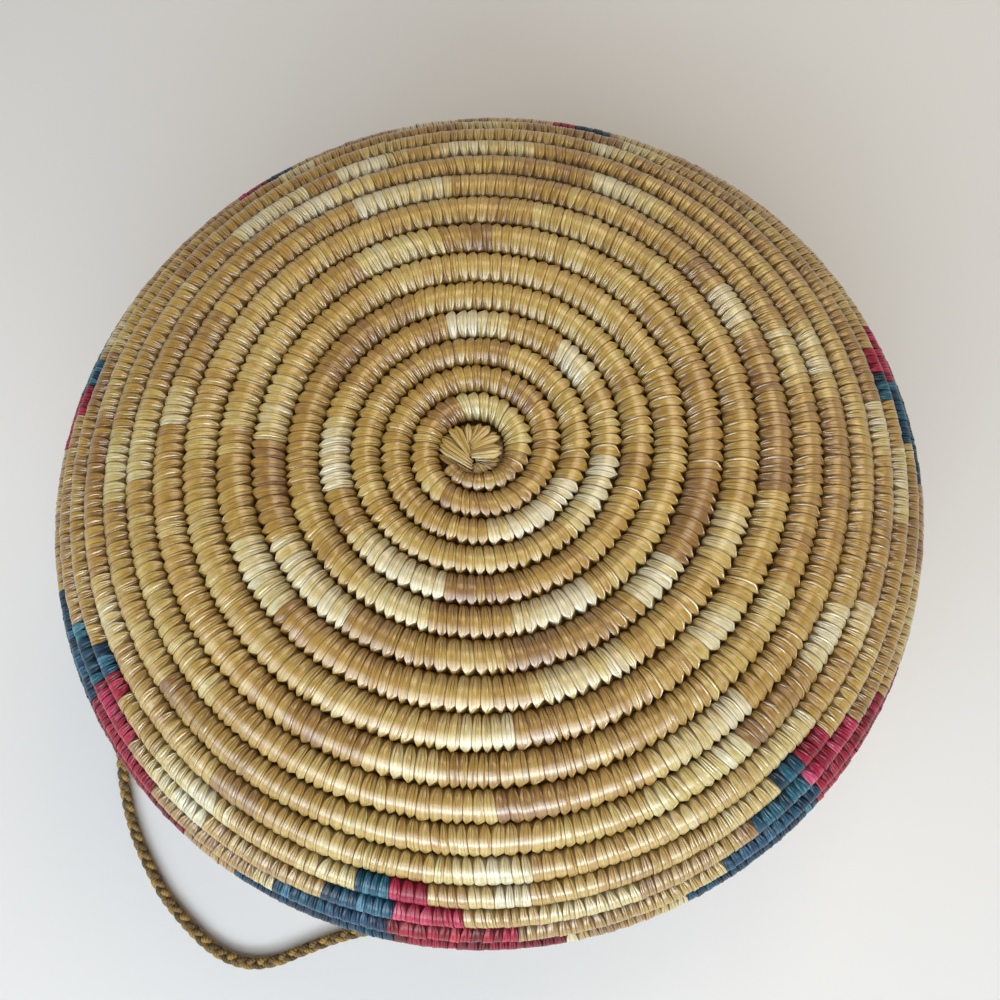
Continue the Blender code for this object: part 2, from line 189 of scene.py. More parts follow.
RING_DEG, RING_HALF, RING_GAP, RING_SHADE, RING_FLOOR_SHADE, RING_SHOW, RING_LIFT = np.array(RING).T
RING_PSI = np.radians(RING_DEG)
SECTION_POWER = 1.85  # 2 is an ellipse, and more is squarer
ROW_OVERLAP = 1.05  # a row presses into its neighbours
# Across a strip: a gap's floor, an edge, a swell, a crease, a swell, a crease, a swell, the other edge and
# the next gap's floor; the fold value counts the edges and creases, 0 to 3
FOLD = np.array((0.0, 0.0, 0.5, 1.0, 1.5, 2.0, 2.5, 3.0, 3.0))
COLUMNS = len(FOLD)
GAP_SLOPE = 0.8  # how much of a gap its sloping walls take up

SEED = 7


def camera_axes():
    down, turn = math.radians(LOOK_DOWN_DEG), math.radians(TURN_DEG)
    forward = Vector((math.sin(turn) * math.cos(down), math.cos(turn) * math.cos(down), -math.sin(down)))
    level = Vector((math.cos(turn), -math.sin(turn), 0.0))
    upright = level.cross(forward)
    roll = math.radians(ROLL_DEG)
    right = math.cos(roll) * level + math.sin(roll) * upright
    up = -math.sin(roll) * level + math.cos(roll) * upright
    return right, up, forward


def add_camera():
    right, up, forward = camera_axes()
    camera = bpy.data.cameras.new("camera")
    camera.lens = LENS
    camera.sensor_width = SENSOR
    camera.clip_start, camera.clip_end = CLIP
    obj = bpy.data.objects.new("camera", camera)
    bpy.context.scene.collection.objects.link(obj)
    axes = Matrix((right, up, -forward)).transposed().to_4x4()
    obj.matrix_world = Matrix.Translation(CAMERA_PLACE) @ axes
    bpy.context.scene.camera = obj


def running_sum(values):
    return np.concatenate([[0.0], np.cumsum(values)])


def lengths_along(path):
    return running_sum(np.linalg.norm(np.diff(path, axis=0), axis=1))


def unit(vectors):
    return vectors / np.linalg.norm(vectors, axis=-1, keepdims=True)


def around_axis(radius, angle, height):
    """Points at these angles round the Z axis."""
    return np.stack([radius * np.cos(angle), radius * np.sin(angle), height], axis=-1)


# A row's section at a turn: centre, direction outward across it, half sizes, and how far it stands out
Section = namedtuple("Section", "radius height out_r out_z half_width half_height rise")


class GrooveCurve:
    """The curve that a shell's grooves follow, from the middle out: a dish, then a quarter ellipse."""

    def __init__(self, crown_radius, dish, drop, rows):
        self.rows = rows
        inner = np.linspace(0.0, crown_radius, CURVE_STEPS + 1)
        angle = np.linspace(0.0, math.pi / 2, CURVE_STEPS + 1)[1:]
        outer = crown_radius + (RIM_RADIUS - crown_radius) * np.sin(angle)
        self.radius = np.concatenate([inner, outer])
        sunk = dish * (1 - inner / crown_radius) ** DISH_POWER
        self.height = np.concatenate([-sunk, drop * (np.cos(angle) - 1)])
        self.along = running_sum(np.hypot(np.diff(self.radius), np.diff(self.height)))
        row = (np.arange(ROW_STEPS * rows) + 0.5) / ROW_STEPS * LID_ROWS / rows
        wide = WIDE_EXTRA * np.exp(-(((row - WIDE_ROW) / WIDE_SPREAD) ** 2))
        shares = running_sum(1 + wide - TIGHT_LESS * (row > TIGHT_ROW))
        start = np.interp(START_RADIUS, self.radius, self.along)
        length = self.along[-1] - start
        self.row_along = start + length * shares / shares[-1]
        self.row_places = np.arange(len(shares)) / ROW_STEPS
        self.nominal = length / rows

    def groove(self, turn):
        """How far along the curve the groove lies at this turn."""
        return np.interp(turn, self.row_places, self.row_along)

    def at(self, along):
        return np.interp(along, self.along, self.radius), np.interp(along, self.along, self.height)

    def section(self, turn):
        low, high = self.groove(turn), self.groove(turn + 1)
        (r0, z0), (r1, z1) = self.at(low), self.at(high)
        chord = np.maximum(np.hypot(r1 - r0, z1 - z0), TINY)
        full = np.minimum(1.0, THIN_ROW_RISE * (high - low) / self.nominal)
        return Section(
            *self.at((low + high) / 2),
            out_r=(r1 - r0) / chord,
            out_z=(z1 - z0) / chord,
            half_width=chord / 2 * ROW_OVERLAP,
            half_height=(GROOVE_DEPTH + INNER_SKIN) / 2 * full,
            rise=(GROOVE_DEPTH - INNER_SKIN) / 2 * full,
        )


class UprightRow:
    """A level row that stands on the row below it, on the wall."""

    def __init__(self, radius, height, half_width, half_depth):
        self.values = (radius, height, half_width, half_depth)

    def section(self, turn):
        radius, height, half_width, half_depth = (np.full_like(turn, v) for v in self.values)
        zero = np.zeros_like(turn)
        return Section(radius, height, zero, zero - 1, half_width * ROW_OVERLAP, half_depth, zero)


LID_CURVE = GrooveCurve(LID_CROWN_RADIUS, LID_DISH, LID_CROWN - LID_LOW, LID_ROWS)
BODY_CURVE = GrooveCurve(BASE_RING_RADIUS, BASE_DISH, BODY_TOP - BASE_LEVEL, BODY_ROWS)

# Spacing of the strips in mm, by the row, from the middle of the lid outward
STRIP_SPACING = ((0, 3.15), (2, 3.3), (4, 3.5), (9, 3.5), (12, 3.2), (17, 3.1))
SPACING_SPREAD = 0.22
LEAST_SPACING = 0.3  # a narrower strip than this share of the usual width is left out
PITCH_STEPS = 1000  # in the first turn, and twice as many in the whole spiral
EVENING = 0.5  # how much of each strip's difference from its neighbours' width is taken out
EVENING_ROUNDS = 2
SAME_TURN = 1e-4

# Strands of straw: how many wraps each makes, and its tone from the start to the end; 0 is dark gold
STRAND_WRAPS = (12, 27)
START_TONE = (0.08, 0.52)
END_TONE = (0.30, 0.62)
PALE_CHANCE = 0.50  # how many of the strands have a pale end
PALE_WRAPS = (5, 11)
PALE_TONE = (0.74, 1.0)
PALE_RISE = 0.22  # how much less pale the first of those wraps is
HUE_SPREAD = 0.35
TONE_SPREAD = 0.045

# Seven stepped motifs: where each one's blue half and crimson half meet, in degrees
MOTIF_DEG = (3, 66, 117, 158.5, 202.5, 251, 305.5)
# Rows from the edge at which a motif widens, and each half's width in degrees from there on
MOTIF_STEPS = ((4.5, 4.5), (3.5, 9.2), (2.5, 14.6), (1.5, 20.0))
ALL_DYED = 0.5  # from this row to the edge no plain straw is left
# Dyed straw is darker toward the edge: partly the dye's own tone, partly painted shade
DYE_AND_SHADE_TONES = (0.47, 0.54, 0.44, 0.34, 0.24)  # at each of those steps, and where all is dyed
DYE_SPREAD, BLUE_SPREAD = 0.09, 0.15
NATURAL, CRIMSON, BLUE = 0, 1, 2


def strip_edges(row, first, last, rng):
    """The turns at which one strip ends and the next begins.

    On a spiral each strip comes out between two strips of the turn before, as it is sewn, and where the
    rows have grown long enough an extra one goes in.
    """
    spiral = isinstance(row, GrooveCurve)
    places, spacings = zip(*STRIP_SPACING)

    def pitch(turn):
        place = turn * LID_ROWS / row.rows if spiral else LID_ROWS
        spacing = np.interp(place, places, spacings) * MM
        return spacing / (2 * math.pi * row.section(np.atleast_1d(turn)).radius)

    grid = np.linspace(first, min(last, first + 1), PITCH_STEPS)
    step = pitch(grid)
    counted = running_sum((1 / step[1:] + 1 / step[:-1]) / 2 * np.diff(grid))
    ends = running_sum(1 + rng.uniform(-SPACING_SPREAD, SPACING_SPREAD, round(counted[-1])))
    edges = list(np.interp(ends / ends[-1] * counted[-1], counted, grid))
    if not spiral:
        return np.array(edges)
    grid = np.linspace(first, last + 1, 2 * PITCH_STEPS)
    pitches = pitch(grid)
    before, spare = 0, 0.0
    while edges[-1] < last:
        between = (edges[before] + edges[before + 1]) / 2 + 1
        step = float(np.interp(between, grid, pitches))
        between += step * rng.uniform(-1, 1) * SPACING_SPREAD / 2
        gap = between - edges[-1]
        before += 1
        if gap < LEAST_SPACING * step:
            continue
        spare += gap / step - 1
        if spare >= 1:
            edges.append(edges[-1] + gap / 2)
            spare -= 1
        edges.append(between)
    edges = np.array(edges[:-1])
    for _ in range(EVENING_ROUNDS):
        edges[1:-1] += EVENING * ((edges[:-2] + edges[2:]) / 2 - edges[1:-1])
    return np.concatenate([edges[edges < last - SAME_TURN], [last]])


def strand_tones(count, rng):
    """Each strand of straw is golden for most of its wraps, and many end in a few pale ones."""
    tone, hue = np.zeros(count), np.zeros(count)
    i = 0
    while i < count:
        wraps = int(rng.integers(*STRAND_WRAPS))
        tones = np.linspace(rng.uniform(*START_TONE), rng.uniform(*END_TONE), wraps)
        if rng.uniform() < PALE_CHANCE:
            pale = int(rng.integers(*PALE_WRAPS))
            tones[-pale:] = rng.uniform(*PALE_TONE) - PALE_RISE * np.linspace(1, 0, pale) ** 3
        last = min(i + wraps, count)
        tone[i:last] = tones[: last - i]
        hue[i:last] = rng.normal(0.0, HUE_SPREAD)
        i = last
    return np.clip(tone + rng.normal(0.0, TONE_SPREAD, count), 0, 1), np.clip(hue, -1, 1)


def motif_dyes(turn, from_edge, flip, rng):
    """Which strips are dyed, by how far a strip is from the middle of the nearest motif, and how light.

    The dyed straw darkens toward the edge, partly in its own tone and partly as painted shade.
    """
    degrees = (turn * 360 * (-1 if flip else 1)) % 360
    away = (degrees[:, None] - MOTIF_DEG + 180) % 360 - 180
    side = away[np.arange(len(turn)), np.abs(away).argmin(axis=1)]
    reach, level = np.zeros(len(turn)), np.zeros(len(turn))
    for step, (begins, width) in enumerate((*MOTIF_STEPS, (ALL_DYED, 360.0)), 1):
        inside = from_edge <= begins
        reach[inside] = width
        level[inside] = step
    kind = np.where(np.abs(side) <= reach, np.where(side > 0, CRIMSON, BLUE), NATURAL)
    tone = np.interp(level, range(1, len(DYE_AND_SHADE_TONES) + 1), DYE_AND_SHADE_TONES)
    spread = np.where(kind == BLUE, BLUE_SPREAD, DYE_SPREAD)
    return kind, np.clip(tone + rng.normal(0.0, spread, len(turn)), 0, 1)


def smooth_random(count, reach, rng):
    """Random values that change slowly along the coil, about 1 in size."""
    raw = rng.normal(0.0, 1.0, count + 2 * reach)
    window = np.ones(2 * reach + 1) / math.sqrt(2 * reach + 1)
    return np.convolve(raw, window, mode="valid")[:count]


SLANT = 0.03  # how far strips lean, as a share of their length
SLANT_SPREAD = 0.08
SLANT_REACH = 3  # strips to each side that lean alike
SWELL = 0.05 * MM  # how far a strip stands up between its creases
EDGE_DROP = 0.06 * MM
HEIGHT_SPREAD = 0.06 * MM
TILT_SPREAD = 0.18 * MM
WAVE = 0.05 * MM
CREASE_A = (0.03 * MM, 0.17 * MM)
CREASE_B = (0.08 * MM, 0.34 * MM)
CREASE_KEPT = 0.6  # least share of a crease's depth; its line fades more than that
TIP_SPREAD_DEG = 5.0  # how unlike the strips' ends are, measured round the row
TIP_LEAN = (0.0, -0.28)  # how far a strip's inner and outer tip lie aside, as a share of the gap there
TIP_LEAN_SPREAD = 0.4
EDGE_SHADE = 0.08
PLEAT_SHADE, PLEAT_SPREAD = 0.36, (0, 1.5)
# How strong the dark line of an edge is, and how unlike the lines of edges and of the two creases are; the
# dark lines are partly the straw's own and partly painted shade in its gaps and creases
EDGE_LINE, EDGE_SPREAD, LINE_A, LINE_B = 0.75, (0.5, 1.5), (0.2, 1.3), (0.4, 1.6)
OPENNESS = (0.2, 1.8)  # how unlike the gaps between strips are
DEEPNESS = (0.8, 1.2)
CREASE_PLACES = (0.24, 0.42), (0.58, 0.78)  # where the two creases may run, as a share of the strip's width
CREST_HALF = 0.40  # where a strip is wider than this, its gaps are drawn open or closed at random
CREST_FADE = 0.06
INNER_END, OUTER_END = 75.0, 105.0  # degrees around the row
END_FADE = 25.0


def signed_power(values, power):
    return np.sign(values) * np.abs(values) ** power


def row_outline():
    """The outline of a row of half size 1 at the angles round it, and the directions outward from it."""
    x = -signed_power(np.cos(RING_PSI), 2 / SECTION_POWER)
    y = signed_power(np.sin(RING_PSI), 2 / SECTION_POWER)
    outward = signed_power(np.stack([x, y]), SECTION_POWER - 1)
    return x, y, *(outward / np.hypot(*outward))


RING_X, RING_Y, OUTWARD_X, OUTWARD_Y = row_outline()


def strip_lines(row, edges, rng):
    """The lines between strips, as turns at the angles round the row, and how open their gaps are."""
    slant = SLANT + SLANT_SPREAD * smooth_random(len(edges), SLANT_REACH, rng)
    openness = rng.uniform(*OPENNESS, len(edges))
    if not isinstance(row, GrooveCurve):
        slant[-1], openness[-1] = slant[0], openness[0]
    at_edge = row.section(edges)
    lean = slant[:, None] * RING_X * at_edge.half_width[:, None]
    return edges[:, None] + lean / (2 * math.pi * at_edge.radius[:, None]), openness


def strip_shares(openness, rng):
    """Where each strip's columns lie, as a share of the way from one of its lines to the other."""
    count = len(openness) - 1

    # Both ends of a strip narrow, each a little sooner or later than its neighbours
    over = RING_DEG <= 180
    inner = np.clip((INNER_END - RING_DEG) / END_FADE, 0, 1) * over
    outer = np.clip((RING_DEG - OUTER_END) / END_FADE, 0, 1) * over
    sooner = rng.uniform(-TIP_SPREAD_DEG, TIP_SPREAD_DEG, (2, count, 1))
    half = np.interp(RING_DEG + sooner[0] * inner + sooner[1] * outer, RING_DEG, RING_HALF)
    crest = np.clip((half - CREST_HALF) / CREST_FADE, 0, 1)
    lean = np.array(TIP_LEAN)[:, None, None] + rng.uniform(-TIP_LEAN_SPREAD, TIP_LEAN_SPREAD, (2, count, 1))
    aside = (lean[0] * inner + lean[1] * outer) * (1 - crest)
    left = (0.5 - half) * (1 + (openness[:-1, None] - 1) * crest + aside)
    right = 1 - (0.5 - half) * (1 + (openness[1:, None] - 1) * crest - aside)

    first, second = (rng.uniform(*places, count)[:, None] for places in CREASE_PLACES)
    parts = (0.0 * first, first / 2, first, (first + second) / 2, second, (1 + second) / 2, 1 + 0.0 * first)
    share = np.empty((count, COLUMNS, len(RING_DEG)))
    share[:, 0] = left * (1 - GAP_SLOPE)
    for column, part in enumerate(parts, 1):
        share[:, column] = left + (right - left) * part
    share[:, -1] = 1 - (1 - right) * (1 - GAP_SLOPE)
    return share


def strip_lifts(share, rng):
    """How far the strips' points stand off the row's even surface."""
    count = len(share)
    lift = np.zeros_like(share) + rng.normal(0.0, HEIGHT_SPREAD, (count, 1, 1))
    lift += rng.normal(0.0, TILT_SPREAD, (count, 1, 1)) * (share - 0.5)
    lift += np.sin(RING_PSI * 2 + rng.uniform(0, 2 * math.pi, (count, 1, 1))) * WAVE
    lift += RING_LIFT * MM
    lift[:, 2:7:2] += SWELL
    lift[:, (1, 7)] -= EDGE_DROP
    for column, depth in ((3, CREASE_A), (5, CREASE_B)):
        lift[:, column] -= rng.uniform(*depth, (count, 1)) * np.maximum(RING_SHOW, CREASE_KEPT)
    lift[:, (0, -1)] = (RING_LIFT - RING_GAP * rng.uniform(*DEEPNESS, (count, 1, 1))) * MM
    return lift


def strip_looks(share, spacing, rng):
    """The across, around and shade values of the strips' points, and their fold and line values."""
    count = len(share)
    across = (share - 0.5) * spacing[:, None, None] / MM
    around = np.broadcast_to(RING_PSI * (GROOVE_DEPTH + INNER_SKIN) / 2 / MM, share.shape)
    # Painted shade: by the angle round the row, at the strips' edges, in the pleats and on the gaps' floors
    dark = np.broadcast_to(RING_SHADE, share.shape).copy()
    dark[:, (1, 7)] += EDGE_SHADE
    dark[:, 6] += PLEAT_SHADE * (RING_SHOW - RING_SHOW.min()) * rng.uniform(*PLEAT_SPREAD, (count, 1))
    dark[:, (0, -1)] = RING_FLOOR_SHADE
    strength = np.empty_like(share)
    for columns in ((0, 1), (7, 8)):
        strength[:, columns] = EDGE_LINE * rng.uniform(*EDGE_SPREAD, (count, 1, 1))
    for columns, spread in (((2, 3), LINE_A), ((5, 6), LINE_B)):
        strength[:, columns] = RING_SHOW * rng.uniform(*spread, (count, 1, 1))
    strength[:, 4] = (strength[:, 3] + strength[:, 5]) / 2
    fold = np.broadcast_to(FOLD[:, None], share.shape)
    grain_and_shade = np.stack([across, around, np.clip(dark, 0, 1)], axis=-1)
    return grain_and_shade, np.stack([fold, strength, np.zeros_like(fold)], axis=-1)


def wrapped_strips(row, edges, rng):
    """Points of every strip in a run of strips, with their across, around, shade and crease values."""
    lines, openness = strip_lines(row, edges, rng)
    share = strip_shares(openness, rng)
    lift = strip_lifts(share, rng)
    turn = lines[:-1, None, :] * (1 - share) + lines[1:, None, :] * share
    section = row.section(turn)
    along_x = RING_X * section.half_width + lift * OUTWARD_X
    along_y = RING_Y * section.half_height + section.rise + lift * OUTWARD_Y
    radius = section.radius + along_x * section.out_r - along_y * section.out_z
    height = section.height + along_x * section.out_z + along_y * section.out_r
    spacing = 2 * math.pi * np.diff(edges) * row.section((edges[:-1] + edges[1:]) / 2).radius
    grain_and_shade, crease = strip_looks(share, spacing, rng)
    return around_axis(radius, 2 * math.pi * turn, height), grain_and_shade, crease


def add_mesh(name, points, faces, face_sizes, materials, looks=(), kinds=None, smooth_deg=40.0):
    """An object from flat arrays: points, the faces' corners one after another, and corners per face.

    Looks are the points' values that the materials read, and kinds are the faces' materials.
    """
    mesh = bpy.data.meshes.new(name)
    mesh.vertices.add(len(points))
    mesh.vertices.foreach_set("co", np.ascontiguousarray(points, dtype=np.float32).ravel())
    mesh.loops.add(len(faces))
    mesh.loops.foreach_set("vertex_index", faces.astype(np.int32))
    mesh.polygons.add(len(face_sizes))
    mesh.polygons.foreach_set("loop_start", running_sum(face_sizes)[:-1].astype(np.int32))
    for material in materials:
        mesh.materials.append(material)
    if kinds is not None:
        mesh.polygons.foreach_set("material_index", kinds.astype(np.int32))
    mesh.update(calc_edges=True)
    mesh.shade_smooth()
    mesh.set_sharp_from_angle(angle=math.radians(smooth_deg))
    for look, values in dict(looks).items():
        data = mesh.attributes.new(look, "FLOAT_VECTOR", "POINT").data
        data.foreach_set("vector", np.ascontiguousarray(values, dtype=np.float32).ravel())
    obj = bpy.data.objects.new(name, mesh)
    bpy.context.scene.collection.objects.link(obj)
    return obj


UV_INSET = 0.04  # how much of a strip's square in the UV map is left free all round


def strip_squares(count, spans, around):
    """UV corners of a run's faces, each strip in a square of its own, and the place of its ends' corners."""
    strip = np.repeat(np.arange(spans) // COLUMNS, around)
    column = np.repeat(np.arange(spans) % COLUMNS, around)
    ring = np.tile(np.arange(around), spans)
    side = math.ceil(math.sqrt(count))
    cell = np.stack([strip % side, strip // side], axis=-1)
    corners_u = np.stack([column, column, column + 1, column + 1], axis=-1) / COLUMNS
    corners_v = np.stack([ring, ring + 1, ring + 1, ring], axis=-1) / around
    u = (cell[:, :1] + UV_INSET + corners_u * (1 - 2 * UV_INSET)) / side
    v = (cell[:, 1:] + UV_INSET + corners_v * (1 - 2 * UV_INSET)) / side
    return np.stack([u, v], axis=-1).reshape(-1, 2), UV_INSET / 2 / side


def add_strip_run(name, points, looks, kinds, closed, materials):
    """A run of strips as one closed skin: a tube with capped ends, or a ring that closes on itself."""
    count, _, around = points.shape[:3]
    columns = count * COLUMNS
    spans = columns if closed else columns - 1
    here = np.arange(spans)[:, None] * around
    beyond = (np.arange(spans)[:, None] + 1) % columns * around
    j = np.arange(around)[None, :]
    k = (j + 1) % around
    quads = np.stack([here + j, here + k, beyond + k, beyond + j], axis=-1).reshape(-1)
    sizes = np.full(spans * around, 4)
    face_kinds = np.repeat(kinds[np.arange(spans) // COLUMNS], around)
    uv, cap_place = strip_squares(count, spans, around)
    if not closed:
        first_cap = np.arange(around)[::-1]
        last_cap = (columns - 1) * around + np.arange(around)
        quads = np.concatenate([quads, first_cap, last_cap])
        sizes = np.concatenate([sizes, [around, around]])
        face_kinds = np.concatenate([face_kinds, [kinds[0], kinds[-1]]])
        uv = np.concatenate([uv, np.full((2 * around, 2), cap_place)])
    obj = add_mesh(name, points.reshape(-1, 3), quads, sizes, materials, looks, face_kinds)
    layer = obj.data.uv_layers.new(name="OFBake")
    layer.uv.foreach_set("vector", np.ascontiguousarray(uv, dtype=np.float32).ravel())
    return obj


def dress_row(names, row, first, last, closed, seed, dye, materials, place=None):
    """Models the strips of a row or a whole spiral, as objects with about as many strips each."""
    rng = np.random.default_rng(SEED + seed)
    edges = strip_edges(row, first, last, rng)
    count = len(edges) - 1
    points, grain_and_shade, crease = wrapped_strips(row, edges, rng)
    tone, hue = strand_tones(count, rng)
    kinds, lightness = dye((edges[1:] + edges[:-1]) / 2, rng)
    tone = np.where(kinds == NATURAL, tone, lightness)
    chance = rng.uniform(0, 1, count)
    if place is not None:
        points = place(points)
    straw = np.broadcast_to(np.stack([tone, hue, chance], axis=-1)[:, None, None, :], points.shape)
    made = []
    cuts = np.linspace(0, count, len(names) + 1).round().astype(int)
    for name, a, b in zip(names, cuts, cuts[1:]):
        looks = {"straw": straw[a:b], "grain_and_shade": grain_and_shade[a:b], "crease": crease[a:b]}
        made.append(add_strip_run(name, points[a:b], looks, kinds[a:b], closed, materials))
    return made


class Graph:
    """A short way to write the nodes of a material or of the world."""

    def __init__(self, owner, shader="Principled BSDF"):
        owner.use_nodes = True
        self.owner = owner
        self.tree = owner.node_tree
        self.shader = self.tree.nodes[shader]

    def feed(self, socket, value):
        if isinstance(value, bpy.types.NodeSocket):
            self.tree.links.new(value, socket)
        else:
            socket.default_value = value

    def node(self, kind, inputs=(), **settings):
        made = self.tree.nodes.new(kind)
        for key, value in settings.items():
            setattr(made, key, value)
        for key, value in dict(inputs).items():
            self.feed(made.inputs[key], value)
        return made

    def shade(self, inputs):
        for name, value in inputs.items():
            self.feed(self.shader.inputs[name], value)
        return self.owner

    def math(self, operation, a, b=0.0, clamp=False):
        made = self.node("ShaderNodeMath", {0: a, 1: b}, operation=operation, use_clamp=clamp)
        return made.outputs[0]

    def mix(self, factor, a, b, blend="MIX"):
        made = self.node("ShaderNodeMix", data_type="RGBA", blend_type=blend)
        self.feed(made.inputs[0], factor)
        self.feed(made.inputs[6], a)
        self.feed(made.inputs[7], b)
        return made.outputs[2]

    def ramp(self, factor, stops):
        made = self.node("ShaderNodeValToRGB", {"Fac": factor})
        elements = made.color_ramp.elements
        for place, color in stops[2:]:
            elements.new(place)
        for element, (place, color) in zip(elements, stops):
            element.position = place
            element.color = (*color, 1.0)
        return made.outputs["Color"]

    def between(self, value, low, high, to_low, to_high):
        inputs = {0: value, 1: low, 2: high, 3: to_low, 4: to_high}
        return self.node("ShaderNodeMapRange", inputs).outputs[0]

    def noise(self, vector, scale, detail, roughness=0.5):
        inputs = {"Vector": vector, "Scale": scale, "Detail": detail, "Roughness": roughness}
        return self.node("ShaderNodeTexNoise", inputs).outputs["Fac"]

    def parts(self, vector):
        return self.node("ShaderNodeSeparateXYZ", {0: vector}).outputs

    def vector(self, x, y, z):
        return self.node("ShaderNodeCombineXYZ", {0: x, 1: y, 2: z}).outputs[0]

    def attribute(self, name):
        return self.node("ShaderNodeAttribute", attribute_name=name).outputs["Vector"]

    def place(self, kind="Object"):
        return self.node("ShaderNodeTexCoord").outputs[kind]

    def bump(self, height, strength, distance):
        inputs = {"Strength": strength, "Distance": distance, "Height": height}
        return self.node("ShaderNodeBump", inputs).outputs[0]

    def seen(self):
        """1 for what is seen, mirrored or seen through, and 0 for what only gives light."""
        rays = self.node("ShaderNodeLightPath").outputs
        either = self.math("MAXIMUM", rays["Is Camera Ray"], rays["Is Glossy Ray"])
        return self.math("MAXIMUM", either, rays["Is Transmission Ray"])


# Noise in the straw: how far it is stretched along a strip, its scale, detail and roughness
FINE_FIBRES = (0.05, 3.8, 3.0, 0.65)
BROAD_FIBRES = (0.08, 1.8, 2.0, 0.5)
BLOTCHES = (0.4, 0.9, 3.0, 0.65)
PATCHES = (45.0, 3.0)  # scale and detail, in the object's space
# How much the tone changes with each of them, and from strip to strip
BROAD_TONE, PATCH_TONE, BLOTCH_TONE, STRIP_TONE = 0.42, 0.24, 0.30, 0.16
NOISE_SHIFT = 61.0  # makes every strip's noise its own
HUE_STRENGTH = 0.8
# From the first two values to the last two: fine fibres to light, the way off a line to its darkness, broad
# fibres to the breaks in a line
STREAKS = (0.30, 0.70, 0.68, 1.20)
LINE_WIDTH = (0.03, 0.19, 1.0, 0.0)
LINE_BREAKS = (0.3, 0.6, 0.5, 1.0)
LINE_DARK = 0.85
CREVICE_POWER = 0.85
FIBRE_ROUGH = (0.3, 0.7), (-0.06, 0.08)  # from these values of fine fibres to the change of roughness
DULL_ROUGH = 0.6  # how much rougher straw is where its shade or lines are painted
COAT_ROUGH = 0.30
FINE_RELIEF, LINE_RELIEF = 0.35, 0.8
STRAW_BUMP = (0.6, 0.06 * MM)


def straw_material(name, stops, leanings, roughness, gloss, coat, crease_color, crevice_color):
    """Flat straw: lengthwise fibres and creases, strips that differ, and painted shade in the crevices.

    Its dark lines at edges and creases are partly its own and partly painted shade.
    """
    g = Graph(bpy.data.materials.new(name))
    tone, hue, chance = g.parts(g.attribute("straw"))
    # The third value here is the painted shade
    across, around, dark = g.parts(g.attribute("grain_and_shade"))
    fold, strength, _ = g.parts(g.attribute("crease"))
    seed = g.math("MULTIPLY", chance, NOISE_SHIFT)

    def fibres(stretch, *noise):
        return g.noise(g.vector(across, g.math("MULTIPLY", around, stretch), seed), *noise)

    fine, broad, blotch = fibres(*FINE_FIBRES), fibres(*BROAD_FIBRES), fibres(*BLOTCHES)
    lighter = g.math("MULTIPLY", g.math("SUBTRACT", chance, 0.5), STRIP_TONE)
    lighter = g.math("ADD", lighter, tone)
    patch = g.noise(g.place(), *PATCHES)
    for noise, amount in ((broad, BROAD_TONE), (patch, PATCH_TONE), (blotch, BLOTCH_TONE)):
        lighter = g.math("ADD", lighter, g.between(noise, 0.0, 1.0, -amount, amount))
    color = g.ramp(lighter, stops)
    for sign, lean in zip((1.0, -1.0), leanings):
        amount = g.math("MULTIPLY", hue, sign * HUE_STRENGTH, clamp=True)
        color = g.mix(amount, color, (*lean, 1.0), "MULTIPLY")
    streak = g.between(fine, *STREAKS)
    color = g.mix(1.0, color, g.vector(streak, streak, streak), "MULTIPLY")

    # Fold values are whole numbers at the edges and creases, where the lines are
    off_line = g.math("ABSOLUTE", g.math("SUBTRACT", g.math("FRACT", g.math("ADD", fold, 0.5)), 0.5))
    line = g.math("MULTIPLY", g.between(off_line, *LINE_WIDTH), strength)
    line = g.math("MULTIPLY", line, g.between(broad, *LINE_BREAKS), clamp=True)
    # Dark lines at the strips' edges and creases: partly the straw's own, partly painted shade
    color = g.mix(g.math("MULTIPLY", line, LINE_DARK), color, crease_color)
    # Painted shade: toward the crevice colour where the shade value is high, most in and near the crevices
    color = g.mix(g.math("POWER", dark, CREVICE_POWER), color, crevice_color)

    # Where shade or lines are painted, the straw is rougher and shines less
    dull = g.math("MAXIMUM", dark, line)
    shine = g.math("SUBTRACT", 1.0, dull, clamp=True)
    values, changes = FIBRE_ROUGH
    rough = g.between(fine, *values, *(roughness + change for change in changes))
    relief = g.math("ADD", g.math("MULTIPLY", fine, FINE_RELIEF), broad)
    relief = g.math("SUBTRACT", relief, g.math("MULTIPLY", line, LINE_RELIEF))
    return g.shade({
        "Base Color": color,
        "Roughness": g.math("ADD", rough, g.math("MULTIPLY", dull, DULL_ROUGH), clamp=True),
        "Specular IOR Level": g.math("MULTIPLY", shine, gloss),
        "Coat Weight": g.math("MULTIPLY", shine, coat[0]),
        "Coat IOR": coat[1],
        "Coat Roughness": COAT_ROUGH,
        "Normal": g.bump(relief, *STRAW_BUMP),
    })


# Tones from the darkest to the lightest
NATURAL_STOPS = (
    (0.0, (0.24, 0.105, 0.010)),
    (0.25, (0.40, 0.215, 0.018)),
    (0.50, (0.53, 0.335, 0.052)),
    (0.75, (0.65, 0.51, 0.175)),
    (1.0, (0.76, 0.69, 0.47)),
)
CRIMSON_STOPS = (
    (0.0, (0.075, 0.001, 0.004)),
    (0.3, (0.230, 0.001, 0.010)),
    (0.6, (0.47, 0.010, 0.058)),
    (1.0, (0.68, 0.12, 0.21)),
)
BLUE_STOPS = (
    (0.0, (0.001, 0.012, 0.026)),
    (0.3, (0.001, 0.032, 0.070)),
    (0.6, (0.002, 0.085, 0.150)),
    (1.0, (0.13, 0.33, 0.43)),
)
